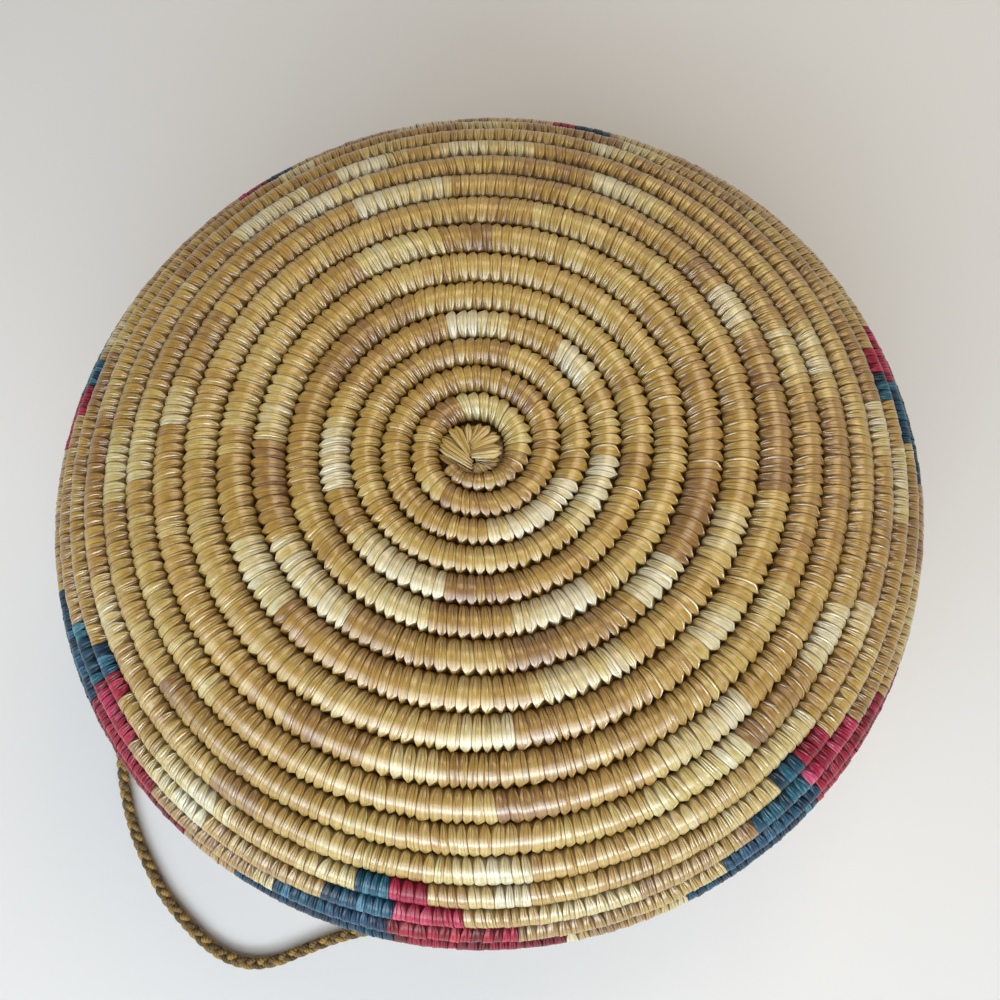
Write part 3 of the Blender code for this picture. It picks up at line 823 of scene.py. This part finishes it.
# What a strip's colour is multiplied by where its hue is 1 or -1
NATURAL_LEANINGS = (1.0, 0.92, 0.78), (0.95, 1.0, 0.80)
CRIMSON_LEANINGS = (1.0, 0.9, 1.3), (1.0, 0.9, 0.45)
BLUE_LEANINGS = (0.8, 1.2, 0.85), (1.0, 0.72, 0.95)
WAXY_COAT = (1.0, 1.85)  # weight and index of refraction
DYED_COAT = (0.5, 1.6)
# Natural straw's colour in its crevices and on its gaps' floors: painted shade
PAINTED_CREVICE_SHADE = (0.050, 0.023, 0.006, 1.0)
# Natural straw's colour for its dark lines, partly its own and partly painted shade
CREASE_BROWN = (0.095, 0.042, 0.008, 1.0)
# Dyed straws' colours for their dark lines and crevices: painted shade, and in the lines partly their own
DARK_RED = (0.030, 0.002, 0.004, 1.0)
DARK_BLUE = (0.003, 0.006, 0.010, 1.0)
# In the order of the kinds NATURAL, CRIMSON and BLUE: what straw_material takes
STRAWS = (
    ("natural_straw", NATURAL_STOPS, NATURAL_LEANINGS, 0.40, 1.0, WAXY_COAT, CREASE_BROWN, PAINTED_CREVICE_SHADE),
    ("crimson_straw", CRIMSON_STOPS, CRIMSON_LEANINGS, 0.42, 0.3, DYED_COAT, DARK_RED, DARK_RED),
    ("blue_straw", BLUE_STOPS, BLUE_LEANINGS, 0.42, 0.3, DYED_COAT, DARK_BLUE, DARK_BLUE),
)


def set_up(pieces, body, nodes):
    for piece in pieces:
        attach(piece, body)
        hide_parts(*nodes)


def piece_names(stem, count):
    return [f"{stem}_{i + 1}" for i in range(count)]


def rim_dye(turn, rng):
    return motif_dyes(turn, np.zeros_like(turn), False, rng)


def no_dye(turn, rng):
    return np.zeros(len(turn), dtype=int), np.zeros(len(turn))


def lifted(points):
    return points + np.array((0.0, 0.0, LID_CROWN))


def turned_over(points):
    """The body's spiral is laid out crown up, as the lid's, and then turned over about the X axis."""
    turned = points * np.array((1.0, -1.0, -1.0)) + np.array((0.0, 0.0, BASE_LEVEL))
    turned[..., 2] = np.maximum(turned[..., 2], 0.0)
    for point, outward in (cord_hole(CORD_LEFT_DEG), cord_hole(CORD_RIGHT_DEG)):
        turned = parted(turned, np.array(point), np.array(outward))
    return turned


def on_turn(turn, radius, height):
    angle = 2 * math.pi * turn
    return Vector((radius * math.cos(angle), radius * math.sin(angle), height))


def cord_hole(azimuth_deg):
    """The point in a groove of the body's wall where the cord is threaded through, and the way out."""
    turn = azimuth_deg / 360
    level = BASE_LEVEL - BODY_CURVE.height
    wall = slice(CURVE_STEPS, None)
    wanted = np.interp(CORD_HOLE_HEIGHT, level[wall], BODY_CURVE.along[wall])
    grooves = BODY_CURVE.groove(np.arange(1, BODY_ROWS + 1) - turn)
    along = grooves[np.abs(grooves - wanted).argmin()]
    radius, drop = BODY_CURVE.at(along)
    (r0, z0), (r1, z1) = BODY_CURVE.at(along - MM), BODY_CURVE.at(along + MM)
    outward = on_turn(turn, z0 - z1, r0 - r1).normalized()
    return on_turn(turn, radius, BASE_LEVEL - drop), outward


HOLE_PART = 0.0031  # how far the strips are pushed aside round the cord
HOLE_FADE = 0.0046
HOLE_REACH = 0.013


def parted(points, middle, outward):
    """Pushes points away from the line that the cord is threaded along."""
    offset = points - middle
    axial = offset @ outward
    sideways = offset - axial[..., None] * outward
    distance = np.maximum(np.linalg.norm(sideways, axis=-1), TINY)
    pushed = np.sqrt(distance**2 + HOLE_PART**2 * np.exp(-((distance / HOLE_FADE) ** 2)))
    near = (np.abs(axial) < HOLE_REACH) & (distance < 4 * HOLE_FADE)
    scale = np.where(near, pushed / distance, 1.0)
    return middle + axial[..., None] * outward + sideways * scale[..., None]


def dress_rings(names, box, half_depth, seed, dye, straws):
    """Dresses level rows that stand one on another and fill the height of their solid's box."""
    low, high = box
    half_width = (high.z - low.z) / len(names) / 2
    made = []
    for k, name in enumerate(names):
        row = UprightRow(high.x - half_depth, low.z + half_width * (2 * k + 1), half_width, half_depth)
        made += dress_row([name], row, 0.0, 1.0, True, seed + k, dye, straws)
    return made


def dress_shell(body, pieces, curve, flip, rim_box, seed, straws, place):
    """Dresses a shell's spiral with this many pieces, and its last row, which is dyed all round."""

    def dye(turn, rng):
        return motif_dyes(turn, curve.rows - turn, flip, rng)

    names = piece_names(f"{body}_coil_strips", pieces)
    last = curve.rows - TAPER_TURNS
    spiral = dress_row(names, curve, -START_TURNS, last, False, seed, dye, straws, place)
    set_up(spiral, body, [f"{body}_coil"])
    half_depth = (GROOVE_DEPTH + INNER_SKIN) / 2
    rim = dress_rings([f"{body}_rim_strips"], rim_box, half_depth, seed + 1, rim_dye, straws)
    set_up(rim, body, [f"{body}_rim_coil"])


def dress_collar(straws):
    names = piece_names("collar_strips", COLLAR_ROWS)
    rings = dress_rings(names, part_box("mouth_collar"), COLLAR_THICKNESS / 2, 5, no_dye, straws)
    set_up(rings, "body", ["mouth_collar"])


# The star of gathered strip ends: where each strip starts and ends, its width and how high it lies, in mm.
# The long ones run in two bunches, and short ones lie low beside the first row's start
STAR_STRIPS = (
    (-2.7, -5.5, -2.7, -9.3, 1.5, 0.2),
    (-2.1, -4.7, 0.1, -9.3, 1.7, 0.2),
    (-2.5, -5.1, -1.3, -10.0, 1.5, 0.5),
    (-0.5, -4.7, 4.4, -7.9, 1.8, 0.2),
    (-1.4, -4.7, 2.0, -8.9, 1.7, 0.5),
    (0.6, -4.7, 6.2, -6.7, 1.8, 0.4),
    (-1.6, -3.9, 7.0, -5.2, 2.0, 0.9),
    (-2.4, 1.5, -0.4, 9.6, 2.2, 0.5),
    (-3.1, -0.8, -4.4, 10.2, 2.2, 0.7),
    (-2.9, -3.3, -10.2, 8.0, 2.0, 0.7),
    (-2.9, -8.9, -15.4, 0.9, 2.2, 0.9),
    (-2.4, 0.8, 7.2, 5.4, 2.4, 1.0),
    (-2.2, 2.4, 2.2, 9.4, 2.6, 1.3),
    (-2.5, -4.3, -12.2, 7.6, 2.2, 1.3),
    (-3.0, -7.0, -14.2, 2.9, 2.2, 1.3),
    (-2.9, -6.0, -14.0, 4.9, 2.2, 1.7),
    (-3.1, -0.8, -2.2, 10.1, 2.4, 1.7),
    (-3.1, -2.8, -8.7, 9.5, 2.8, 2.0),
    (-2.7, -5.1, -13.0, 6.3, 2.5, 2.1),
    (-2.6, 0.0, 8.0, 3.3, 3.0, 2.1),
    (-2.4, 1.5, 5.2, 7.5, 3.2, 2.3),
    (-3.2, -2.1, -6.6, 9.6, 2.8, 2.4),
    (-2.7, -1.4, 8.3, -0.9, 3.1, 2.4),
    (-2.7, -2.9, 7.6, -3.3, 3.2, 2.7),
)
STAR_FULLNESS = 1.2
STAR_LOW = 1.0  # strips that lie lower than this are in the others' shade
STAR_TUCK = 0.0006  # how far a strip's tip may lie over the first row's foot
STAR_ROOT_WIDTH = 0.42  # of the width at the tip
STAR_TIP_RISE = 0.0004
STAR_ROOT_RISE = 0.0012
STAR_STEPS = 12
STAR_BEND, STAR_TWIST, STAR_ASIDE = 0.25 * MM, 0.3 * MM, 0.6  # how unlike the strips are
STAR_FLARE = (1.3, 0.8)  # how soon and how roundly a strip widens from its root
STAR_TIP = ((0.0, 0.74, 0.90, 1.0), (1.0, 1.0, 0.62, 0.06))  # its width on the way out
STAR_ARCH, STAR_DROP = 0.35 * MM, 0.5 * MM
STAR_RISE_POWER = 1.6
DROP_FROM, ASIDE_FROM = 0.85, 0.8  # where on the way out a tip begins to drop, and to lean aside
STAR_FADE = ((0, 0.15, 0.9, 1), (0.35, 0.03, 0.0, 0.15))  # its shade on the way out
# Low strips take darker tones too: painted shade of the strips over them
STAR_TONE, LOW_STAR_TONE = (0.4, 0.78), (0.2, 0.6)
LOW_STAR_SHADE = 0.12
STAR_HUE = 0.25
STAR_LINES = 0.8
STAR_GRAIN = 10  # how long the pattern of its fibres is, in mm
INNER_STAR_SINK = 0.0016  # the star inside the shell lies flatter than the outer one
# Across a strip of the star: place, how far it drops in mm, and its shade
STAR_SECTION = (
    (-1.0, 0.20, 0.42),
    (-0.80, 0.02, 0.04),
    (-0.30, -0.04, 0.0),
    (0.0, 0.06, 0.16),
    (0.34, -0.10, 0.0),
    (0.84, 0.08, 0.10),
    (1.0, 0.26, 0.48),
    (0.6, 0.75, 1.0),
    (-0.6, 0.75, 1.0),
)


def pocket_radius(azimuth_deg, curve):
    """The radius of the first row's foot: the coil spirals out round the pocket."""
    turn = azimuth_deg / 360 % 1
    return curve.at(curve.groove(turn if turn < 1 - START_TURNS else 0.0))[0]


def band_points(strip, curve, rng):
    """One flat strip of the star, from where it starts out to its pointed tip."""
    start, tip = np.array(strip[:2]) * MM, np.array(strip[2:4]) * MM
    width, level = strip[4] * STAR_FULLNESS * MM, strip[5] * MM
    reach = pocket_radius(math.degrees(math.atan2(tip[1], tip[0])), curve) + STAR_TUCK
    tip *= min(1.0, reach / np.linalg.norm(tip))
    out = np.linspace(0.0, 1.0, STAR_STEPS)
    arch = np.sin(out * math.pi)
    way = unit(tip - start)
    side = np.array((-way[1], way[0]))
    middle = start + out[:, None] * (tip - start) + arch[:, None] * rng.normal(0.0, STAR_BEND) * side
    soon, round_off = STAR_FLARE
    flare = np.minimum(out * soon, 1.0) ** round_off
    half = width / 2 * (STAR_ROOT_WIDTH + (1 - STAR_ROOT_WIDTH) * flare) * np.interp(out, *STAR_TIP)
    rise = level + STAR_ROOT_RISE + (STAR_TIP_RISE - STAR_ROOT_RISE) * out**STAR_RISE_POWER
    rise += STAR_ARCH * arch - STAR_DROP * np.clip((out - DROP_FROM) / (1 - DROP_FROM), 0, 1) ** 2
    twist = rng.uniform(-STAR_TWIST, STAR_TWIST)
    aside = rng.uniform(-STAR_ASIDE, STAR_ASIDE) * np.clip((out - ASIDE_FROM) / (1 - ASIDE_FROM), 0, 1)
    rows = []
    for across, down, _ in STAR_SECTION:
        flat = middle + (across + aside[:, None]) * half[:, None] * side
        rows.append(np.concatenate([flat, (rise - down * MM + across * twist)[:, None]], axis=1))
    return np.stack(rows, axis=1)


def ring_faces(count, around):
    """Corners and sizes of a closed tube's faces, from its rings of points: the sides and both ends."""
    here = np.arange(count - 1)[:, None] * around
    j = np.arange(around)[None, :]
    k = (j + 1) % around
    quads = np.stack([here + j, here + around + j, here + around + k, here + k], axis=-1).reshape(-1)
    caps = np.concatenate([np.arange(around), (count - 1) * around + np.arange(around)[::-1]])
    return np.concatenate([quads, caps]), np.repeat((4, around), ((count - 1) * around, 2))


def star_mesh(name, curve, upward, seed, materials):
    """The gathered strip ends at the middle of a coil, as one object of many closed strips."""
    rng = np.random.default_rng(SEED + seed)
    places, _, shades = np.array(STAR_SECTION).T
    out = np.linspace(0, 1, STAR_STEPS)[:, None]
    dark = np.interp(out, *STAR_FADE) + shades
    points, straw, grain_and_shade = [], [], []
    for strip in STAR_STRIPS:
        low = strip[5] < STAR_LOW
        points.append(band_points(strip, curve, rng) * (1, 1, upward))
        tone = rng.uniform(*(LOW_STAR_TONE if low else STAR_TONE))
        look = (tone, rng.normal(0, STAR_HUE), rng.uniform(0, 1))
        straw.append(np.broadcast_to(look, points[-1].shape))
        shade = np.clip(dark + (LOW_STAR_SHADE if low else 0.0), 0, 1)
        grain_and_shade.append(np.stack(np.broadcast_arrays(places * strip[4] / 2, out * STAR_GRAIN, shade), axis=-1))
    crease = np.broadcast_arrays(np.abs(places) + 1, np.full((len(points), STAR_STEPS, 1), STAR_LINES), 0.0)
    faces, sizes = ring_faces(STAR_STEPS, len(places))
    base = np.arange(len(points))[:, None] * STAR_STEPS * len(places)
    looks = {"straw": np.stack(straw), "grain_and_shade": np.stack(grain_and_shade), "crease": np.stack(crease, axis=-1)}
    obj = add_mesh(
        name, np.stack(points).reshape(-1, 3), (faces + base).ravel(), np.tile(sizes, len(points)),
        materials, looks, smooth_deg=50.0,
    )
    turn_faces_out(obj)
    return obj


def turn_faces_out(obj):
    """Turns each closed strip's faces outward."""
    bm = bmesh.new()
    bm.from_mesh(obj.data)
    bmesh.ops.recalc_face_normals(bm, faces=bm.faces)
    bm.to_mesh(obj.data)
    bm.free()


CORE_COLUMNS = 72
CORE_RIDGE = 0.12 * MM
# The bundle's end under the star, from its top out and round to its underside: share of the pocket's
# radius, and height in mm
CORE_PROFILE = (
    (0.35, -0.9),
    (0.75, -1.0),
    (1.0, -1.3),
    (1.10, -2.4),
    (1.08, -4.2),
    (0.95, -5.4),
    (0.5, -5.9),
)
CORE_TONE, CORE_SHADE, CORE_INNER_SHADE = 0.2, 0.6, 0.1
CORE_OUTSIDE = -3.5 * MM  # above this it is in the shade of the star
CORE_FIBRES = 5  # how close together its fibres are drawn round it


def core_mesh(name, curve, materials, seed):
    """The bundle's end under the star, which closes the shell: a low solid that fills the spiral pocket."""
    rng = np.random.default_rng(SEED + seed)
    column = np.arange(CORE_COLUMNS)
    degrees = 360 * column / CORE_COLUMNS
    angle = np.radians(degrees)
    foot = np.array([pocket_radius(d, curve) for d in degrees])
    rings = []
    for share, rise in CORE_PROFILE:
        ridge = CORE_RIDGE * (column % 2) + rng.normal(0, CORE_RIDGE / 3, CORE_COLUMNS)
        rings.append(around_axis(foot * share, angle, rise * MM + ridge))
    middles = [(0, 0, rise * MM) for _, rise in (CORE_PROFILE[0], CORE_PROFILE[-1])]
    points = np.concatenate(rings + [middles])
    top, under = np.full((2, CORE_COLUMNS), [[len(points) - 2], [len(points) - 1]])
    beside = (column + 1) % CORE_COLUMNS
    here = np.arange(len(CORE_PROFILE) - 1)[:, None] * CORE_COLUMNS
    beyond = here + CORE_COLUMNS
    quads = np.stack([here + beside, here + column, beyond + column, beyond + beside], axis=-1)
    last = beyond[-1]
    fans = np.stack([(top, column, beside), (under, last + beside, last + column)]).swapaxes(1, 2)
    faces = np.concatenate([quads.ravel(), fans.ravel()])
    sizes = np.repeat((4, 3), (quads.size // 4, fans.size // 3))
    spun = np.arctan2(points[:, 1], points[:, 0]) * CORE_FIBRES
    shade = np.where(points[:, 2] > CORE_OUTSIDE, CORE_SHADE, CORE_INNER_SHADE)
    looks = {
        "straw": np.tile((CORE_TONE, 0.0, 0.3), (len(points), 1)),
        "grain_and_shade": np.stack([spun, np.hypot(points[:, 0], points[:, 1]) / MM, shade], axis=-1),
        "crease": np.tile((0.5, 0.0, 0.0), (len(points), 1)),
    }
    return add_mesh(name, points, faces, sizes, materials, looks)


def place_star(stem, curve, groove_level, flipped, seed, body, node, straws):
    star = star_mesh(stem + "_star", curve, 1, seed, straws[:1])
    inside = star_mesh(stem + "_inner_star", curve, -1, seed + 1, straws[:1])
    core = core_mesh(stem + "_core", curve, straws[:1], seed + 2)
    inside.data.transform(Matrix.Translation((0, 0, INNER_STAR_SINK - INNER_SKIN)))
    turn = Matrix.Rotation(math.pi, 4, "X") if flipped else Matrix.Identity(4)
    for piece in (star, inside, core):
        piece.data.transform(Matrix.Translation((0, 0, groove_level)) @ turn)
    set_up((star, inside, core), body, [node])


def smooth_through(points):
    """Points at about STRAND_STEP from one another, on one smooth curve through the given points."""
    fine = []
    for i in range(len(points) - 1):
        p1, p2 = points[i], points[i + 1]
        p0 = points[i - 1] if i else 2 * p1 - p2
        p3 = points[i + 2] if i + 2 < len(points) else 2 * p2 - p1
        for k in range(SPAN_STEPS):
            t = k / SPAN_STEPS
            bent = 2 * p1 + (p2 - p0) * t + (2 * p0 - 5 * p1 + 4 * p2 - p3) * t**2
            fine.append(0.5 * (bent + (3 * p1 - p0 - 3 * p2 + p3) * t**3))
    fine = np.array([tuple(p) for p in (*fine, points[-1])])
    lengths = lengths_along(fine)
    targets = np.linspace(0, lengths[-1], round(lengths[-1] / STRAND_STEP) + 1)
    return np.stack([np.interp(targets, lengths, fine[:, axis]) for axis in range(3)], axis=-1)


def cord_centreline():
    """The cord from the inner face of the wall, out, round its loop and back in."""
    (left, left_out), (right, right_out) = cord_hole(CORD_LEFT_DEG), cord_hole(CORD_RIGHT_DEG)
    clear = GROOVE_DEPTH + CORD_STRAIGHT
    points = [left - left_out * CORD_INSIDE, left + left_out * GROOVE_DEPTH, left + left_out * clear]
    points += [Vector((p[0], p[1], p[2] if len(p) == 3 else CORD_LYING)) for p in CORD_ROUTE]
    points += [right + right_out * clear, right + right_out * GROOVE_DEPTH, right - right_out * CORD_INSIDE]
    return smooth_through(points)


def tube_rings(path, half_wide, half_high, side, upper):
    """The rings of a tube's points along a path."""
    angle = (2 * math.pi * np.arange(STRAND_SIDES) / STRAND_SIDES)[None, :, None]
    ring = np.cos(angle) * side[:, None, :] * half_wide + np.sin(angle) * upper[:, None, :] * half_high
    return path[:, None, :] + ring


def add_tubes(name, tubes, materials, kinds):
    """One object of several closed tubes, each with its own material, and yarn lines along and round it."""
    faces, sizes, face_kinds, yarn = [], [], [], []
    angle = 2 * math.pi * np.arange(STRAND_SIDES) / STRAND_SIDES
    base = 0
    for (rings, along), kind in zip(tubes, kinds):
        tube_faces, tube_sizes = ring_faces(len(rings), STRAND_SIDES)
        faces.append(tube_faces + base)
        sizes.append(tube_sizes)
        face_kinds.append(np.full(len(tube_sizes), kind))
        yarn.append(np.stack(np.broadcast_arrays(along[:, None], np.cos(angle), np.sin(angle)), axis=-1))
        base += len(rings) * STRAND_SIDES
    points = np.concatenate([rings for rings, _ in tubes]).reshape(-1, 3)
    return add_mesh(
        name, points, np.concatenate(faces), np.concatenate(sizes), materials,
        {"yarn": np.concatenate(yarn)}, np.concatenate(face_kinds), smooth_deg=60.0,
    )


def plait_tubes(path):
    """Three strands that swing from side to side and over each other along the path."""
    along = lengths_along(path)
    forward = unit(np.gradient(path, axis=0))
    side = unit(np.cross(forward, UPWARD))
    upper = np.cross(side, forward)
    tubes = []
    for k in range(STRANDS):
        turn = 2 * math.pi * (along / PLAIT_LENGTH + k / STRANDS)
        centre = path + side * (PLAIT_SIDEWAYS * np.sin(turn))[:, None]
        centre = centre + upper * (PLAIT_UPDOWN * np.sin(2 * turn))[:, None]
        centre[:, 2] -= PLAIT_SETTLE
        strand_side = unit(np.cross(np.gradient(centre, axis=0), upper))
        tubes.append((tube_rings(centre, STRAND_WIDE, STRAND_HIGH, strand_side, upper), along))
    return tubes


# Yarn: its lines slant as they count along the strand, in radians per metre, and round it
YARN_ALONG, YARN_ROUND = 5200.0, 3.0
FLUFF_NOISE = (1400.0, 3.0, 0.6)  # scale, detail and roughness
YARN_PATCHES = (160.0, 2.0)
FLUFF_TONE, YARN_PATCH_TONE, TWIST_SHADE = 0.6, 0.5, 0.14
TWIST_RELIEF = 0.5
YARN_BUMP = (0.8, 0.2 * MM)
YARN_ROUGH = 0.78
YARN_RAMP = (0.25, 0.85)  # from its dark colour to its light one
YARNS = (
    ("dark_yarn", (0.045, 0.026, 0.010), (0.20, 0.125, 0.045)),
    ("ochre_yarn", (0.15, 0.085, 0.020), (0.50, 0.32, 0.090)),
    ("brown_yarn", (0.085, 0.052, 0.018), (0.36, 0.235, 0.080)),
)


def yarn_material(name, dark, light):
    """A strand of twisted fibres: slanting yarn lines, fluff, and painted shade along the twist's grooves.
    """
    g = Graph(bpy.data.materials.new(name))
    along, x, y = g.parts(g.attribute("yarn"))
    spiral = g.math("MULTIPLY", g.math("ARCTAN2", y, x), YARN_ROUND)
    twist = g.math("SINE", g.math("ADD", g.math("MULTIPLY", along, YARN_ALONG), spiral))
    fluff = g.noise(g.place(), *FLUFF_NOISE)
    patch = g.math("MULTIPLY", g.noise(g.place(), *YARN_PATCHES), YARN_PATCH_TONE)
    shade = g.math("ADD", g.math("MULTIPLY", fluff, FLUFF_TONE), patch)
    # Painted shade: darker in the twist's grooves and lighter on its ridges, as the bump follows the twist
    shade = g.math("ADD", shade, g.math("MULTIPLY", twist, TWIST_SHADE))
    relief = g.math("ADD", g.math("MULTIPLY", twist, TWIST_RELIEF), fluff)
    return g.shade({
        "Base Color": g.ramp(shade, tuple(zip(YARN_RAMP, (dark, light)))),
        "Roughness": YARN_ROUGH,
        "Normal": g.bump(relief, *YARN_BUMP),
    })


KNOT_SIZE = 0.0041
KNOT_DEPTH = 0.75  # of its size, to each side of its middle
KNOT_TUBE = 0.0021
KNOT_STEPS = 90
TAIL_LENGTH = 0.0085
TAIL_HALF = 0.0010
TAIL_STEPS = 14
TAIL_APART, TAIL_FLARE = 0.0009, 0.0016  # how far from the middle they start, and how far more they end
TAIL_TURN = 0.4
TAIL_SUNK = 0.6  # of the knot's half thickness


def knot_tubes(point, outward):
    """An overhand knot pulled tight against the inner face of the wall, with its three loose ends."""
    t = np.linspace(0, 2 * math.pi, KNOT_STEPS)
    local = np.stack([
        (np.sin(t) + 2 * np.sin(2 * t)) / 3,
        (np.cos(t) - 2 * np.cos(2 * t)) / 3,
        -np.sin(3 * t) * KNOT_DEPTH,
    ], axis=-1) * KNOT_SIZE
    inward = -np.array(outward)
    side = unit(np.cross(inward, UPWARD))
    upper = np.cross(side, inward)
    centre = np.array(point) + inward * (CORD_INSIDE + GAP + KNOT_SIZE * KNOT_DEPTH + KNOT_TUBE)
    path = centre + local @ np.stack([side, upper, inward])
    forward = unit(np.gradient(path, axis=0))
    across = unit(np.cross(forward, inward))
    rings = tube_rings(path, KNOT_TUBE, KNOT_TUBE, across, np.cross(across, forward))
    tubes = [(rings, lengths_along(path))]
    s = np.linspace(0, 1, TAIL_STEPS)[:, None]
    for k in range(STRANDS):
        angle = 2 * math.pi * k / STRANDS + TAIL_TURN
        spread = side * math.cos(angle) + upper * math.sin(angle)
        tail = centre + inward * (KNOT_TUBE * TAIL_SUNK + s * TAIL_LENGTH)
        tail = tail + (TAIL_APART + TAIL_FLARE * s**2) * spread
        sides = side * np.ones_like(s), upper * np.ones_like(s)
        tubes.append((tube_rings(tail, TAIL_HALF, TAIL_HALF, *sides), lengths_along(tail)))
    return tubes


def dress_cord():
    yarns = [yarn_material(*values) for values in YARNS]
    for side, azimuth in (("left", CORD_LEFT_DEG), ("right", CORD_RIGHT_DEG)):
        point, outward = cord_hole(azimuth)
        knot = add_tubes(f"cord_stopper_{side}", knot_tubes(point, outward), yarns, (0, 0, 1, 2))
        set_up([knot], "body", [f"cord_knot_{side}"])
    path = cord_centreline()
    plait = add_tubes("cord_plait", plait_tubes(path), yarns, (0, 1, 2))
    set_up([plait], "body", ["cord_loop"])
    outside = cord_hole(CORD_LEFT_DEG)


FLOOR_HALF = 4.0
FLOOR_DOWN = 0.0001
FLOOR_CLOUD = (3.0, 3.0)  # scale and detail of its noise
FLOOR_ROUGH = 0.9
FLOOR_BUMP = (0.1, 0.5 * MM)
FLOOR_STOPS = ((0.3, (0.79, 0.785, 0.775)), (0.7, (0.81, 0.805, 0.795)))
LIT_FLOOR = (0.9, 2.8)  # from here to there it becomes as light as the studio's walls, where it is seen
WORLD_LIGHT = 0.13
WALL_LIGHT = 0.55
CEILING = (0.3, 0.6)  # the walls are white up to the first of these heights, and the ceiling isn't
# Lamps: place, size, power in watts and colour
LAMPS = {
    "window": ((-0.15, -1.32, 0.86), (1.7, 0.40), 15.8, (0.87, 0.94, 1.0)),
    "front": ((-0.35, -0.95, 1.25), (2.0, 1.0), 14.2, (0.90, 0.95, 1.0)),
    "sky": ((-1.10, -0.65, 0.80), (1.0, 0.7), 3.6, (0.72, 0.86, 1.0)),
    "overhead": ((0.50, 0.45, 1.20), (0.8, 0.8), 5.6, (1.0, 0.80, 0.55)),
}
LAMP_AIM = (0.0, 0.0, 0.10)


def floor_material():
    """Pale floor, which far from the lamps is seen as light as the studio's walls."""
    g = Graph(bpy.data.materials.new("pale_floor"))
    cloud = g.noise(g.place(), *FLOOR_CLOUD)
    away = g.node("ShaderNodeVectorMath", {0: g.place()}, operation="LENGTH").outputs["Value"]
    light = g.between(away, *LIT_FLOOR, 0.0, WALL_LIGHT)
    return g.shade({
        "Base Color": g.ramp(cloud, FLOOR_STOPS),
        "Roughness": FLOOR_ROUGH,
        "Normal": g.bump(cloud, *FLOOR_BUMP),
        "Emission Strength": g.math("MULTIPLY", g.seen(), light),
        "Emission Color": WHITE,
    })


def add_floor():
    corners = np.array([(-1, -1, 0), (1, -1, 0), (1, 1, 0), (-1, 1, 0)]) * FLOOR_HALF
    floor = add_mesh("floor", corners, np.arange(4), np.array([4]), [floor_material()])
    floor.location.z = -FLOOR_DOWN


def add_lamp(name, place, size, power, color):
    lamp = bpy.data.lights.new(name, "AREA")
    lamp.shape = "RECTANGLE"
    lamp.size, lamp.size_y = size
    lamp.energy = power
    lamp.color = color
    obj = bpy.data.objects.new(name, lamp)
    bpy.context.scene.collection.objects.link(obj)
    obj.location = place
    obj.visible_camera = False
    obj.rotation_mode = "QUATERNION"
    obj.rotation_quaternion = (Vector(LAMP_AIM) - Vector(place)).to_track_quat("-Z", "Y")


def light_world():
    """Dim light from all round, in which walls are seen and mirrored white under a darker ceiling."""
    world = bpy.data.worlds.new("studio")
    bpy.context.scene.world = world
    g = Graph(world, "Background")
    wall = g.between(g.parts(g.place("Generated"))[2], *CEILING, WALL_LIGHT, WORLD_LIGHT)
    g.shade({"Color": WHITE, "Strength": g.between(g.seen(), 0.0, 1.0, WORLD_LIGHT, wall)})


def main():
    add_camera()
    dress_cord()
    straws = [straw_material(*values) for values in STRAWS]
    dress_shell("lid", 7, LID_CURVE, False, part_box("lid_rim_coil"), 1, straws, lifted)
    dress_shell("body", 10, BODY_CURVE, True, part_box("body_rim_coil"), 3, straws, turned_over)
    dress_collar(straws)
    place_star("lid", LID_CURVE, LID_CROWN - LID_DISH, False, 20, "lid", "lid_start_knot", straws)
    place_star("base", BODY_CURVE, BASE_LEVEL + BASE_DISH, True, 30, "body", "base_start_knot", straws)
    add_floor()
    for name, values in LAMPS.items():
        add_lamp(name, *values)
    light_world()
    bpy.context.scene.view_settings.view_transform = "Standard"


main()
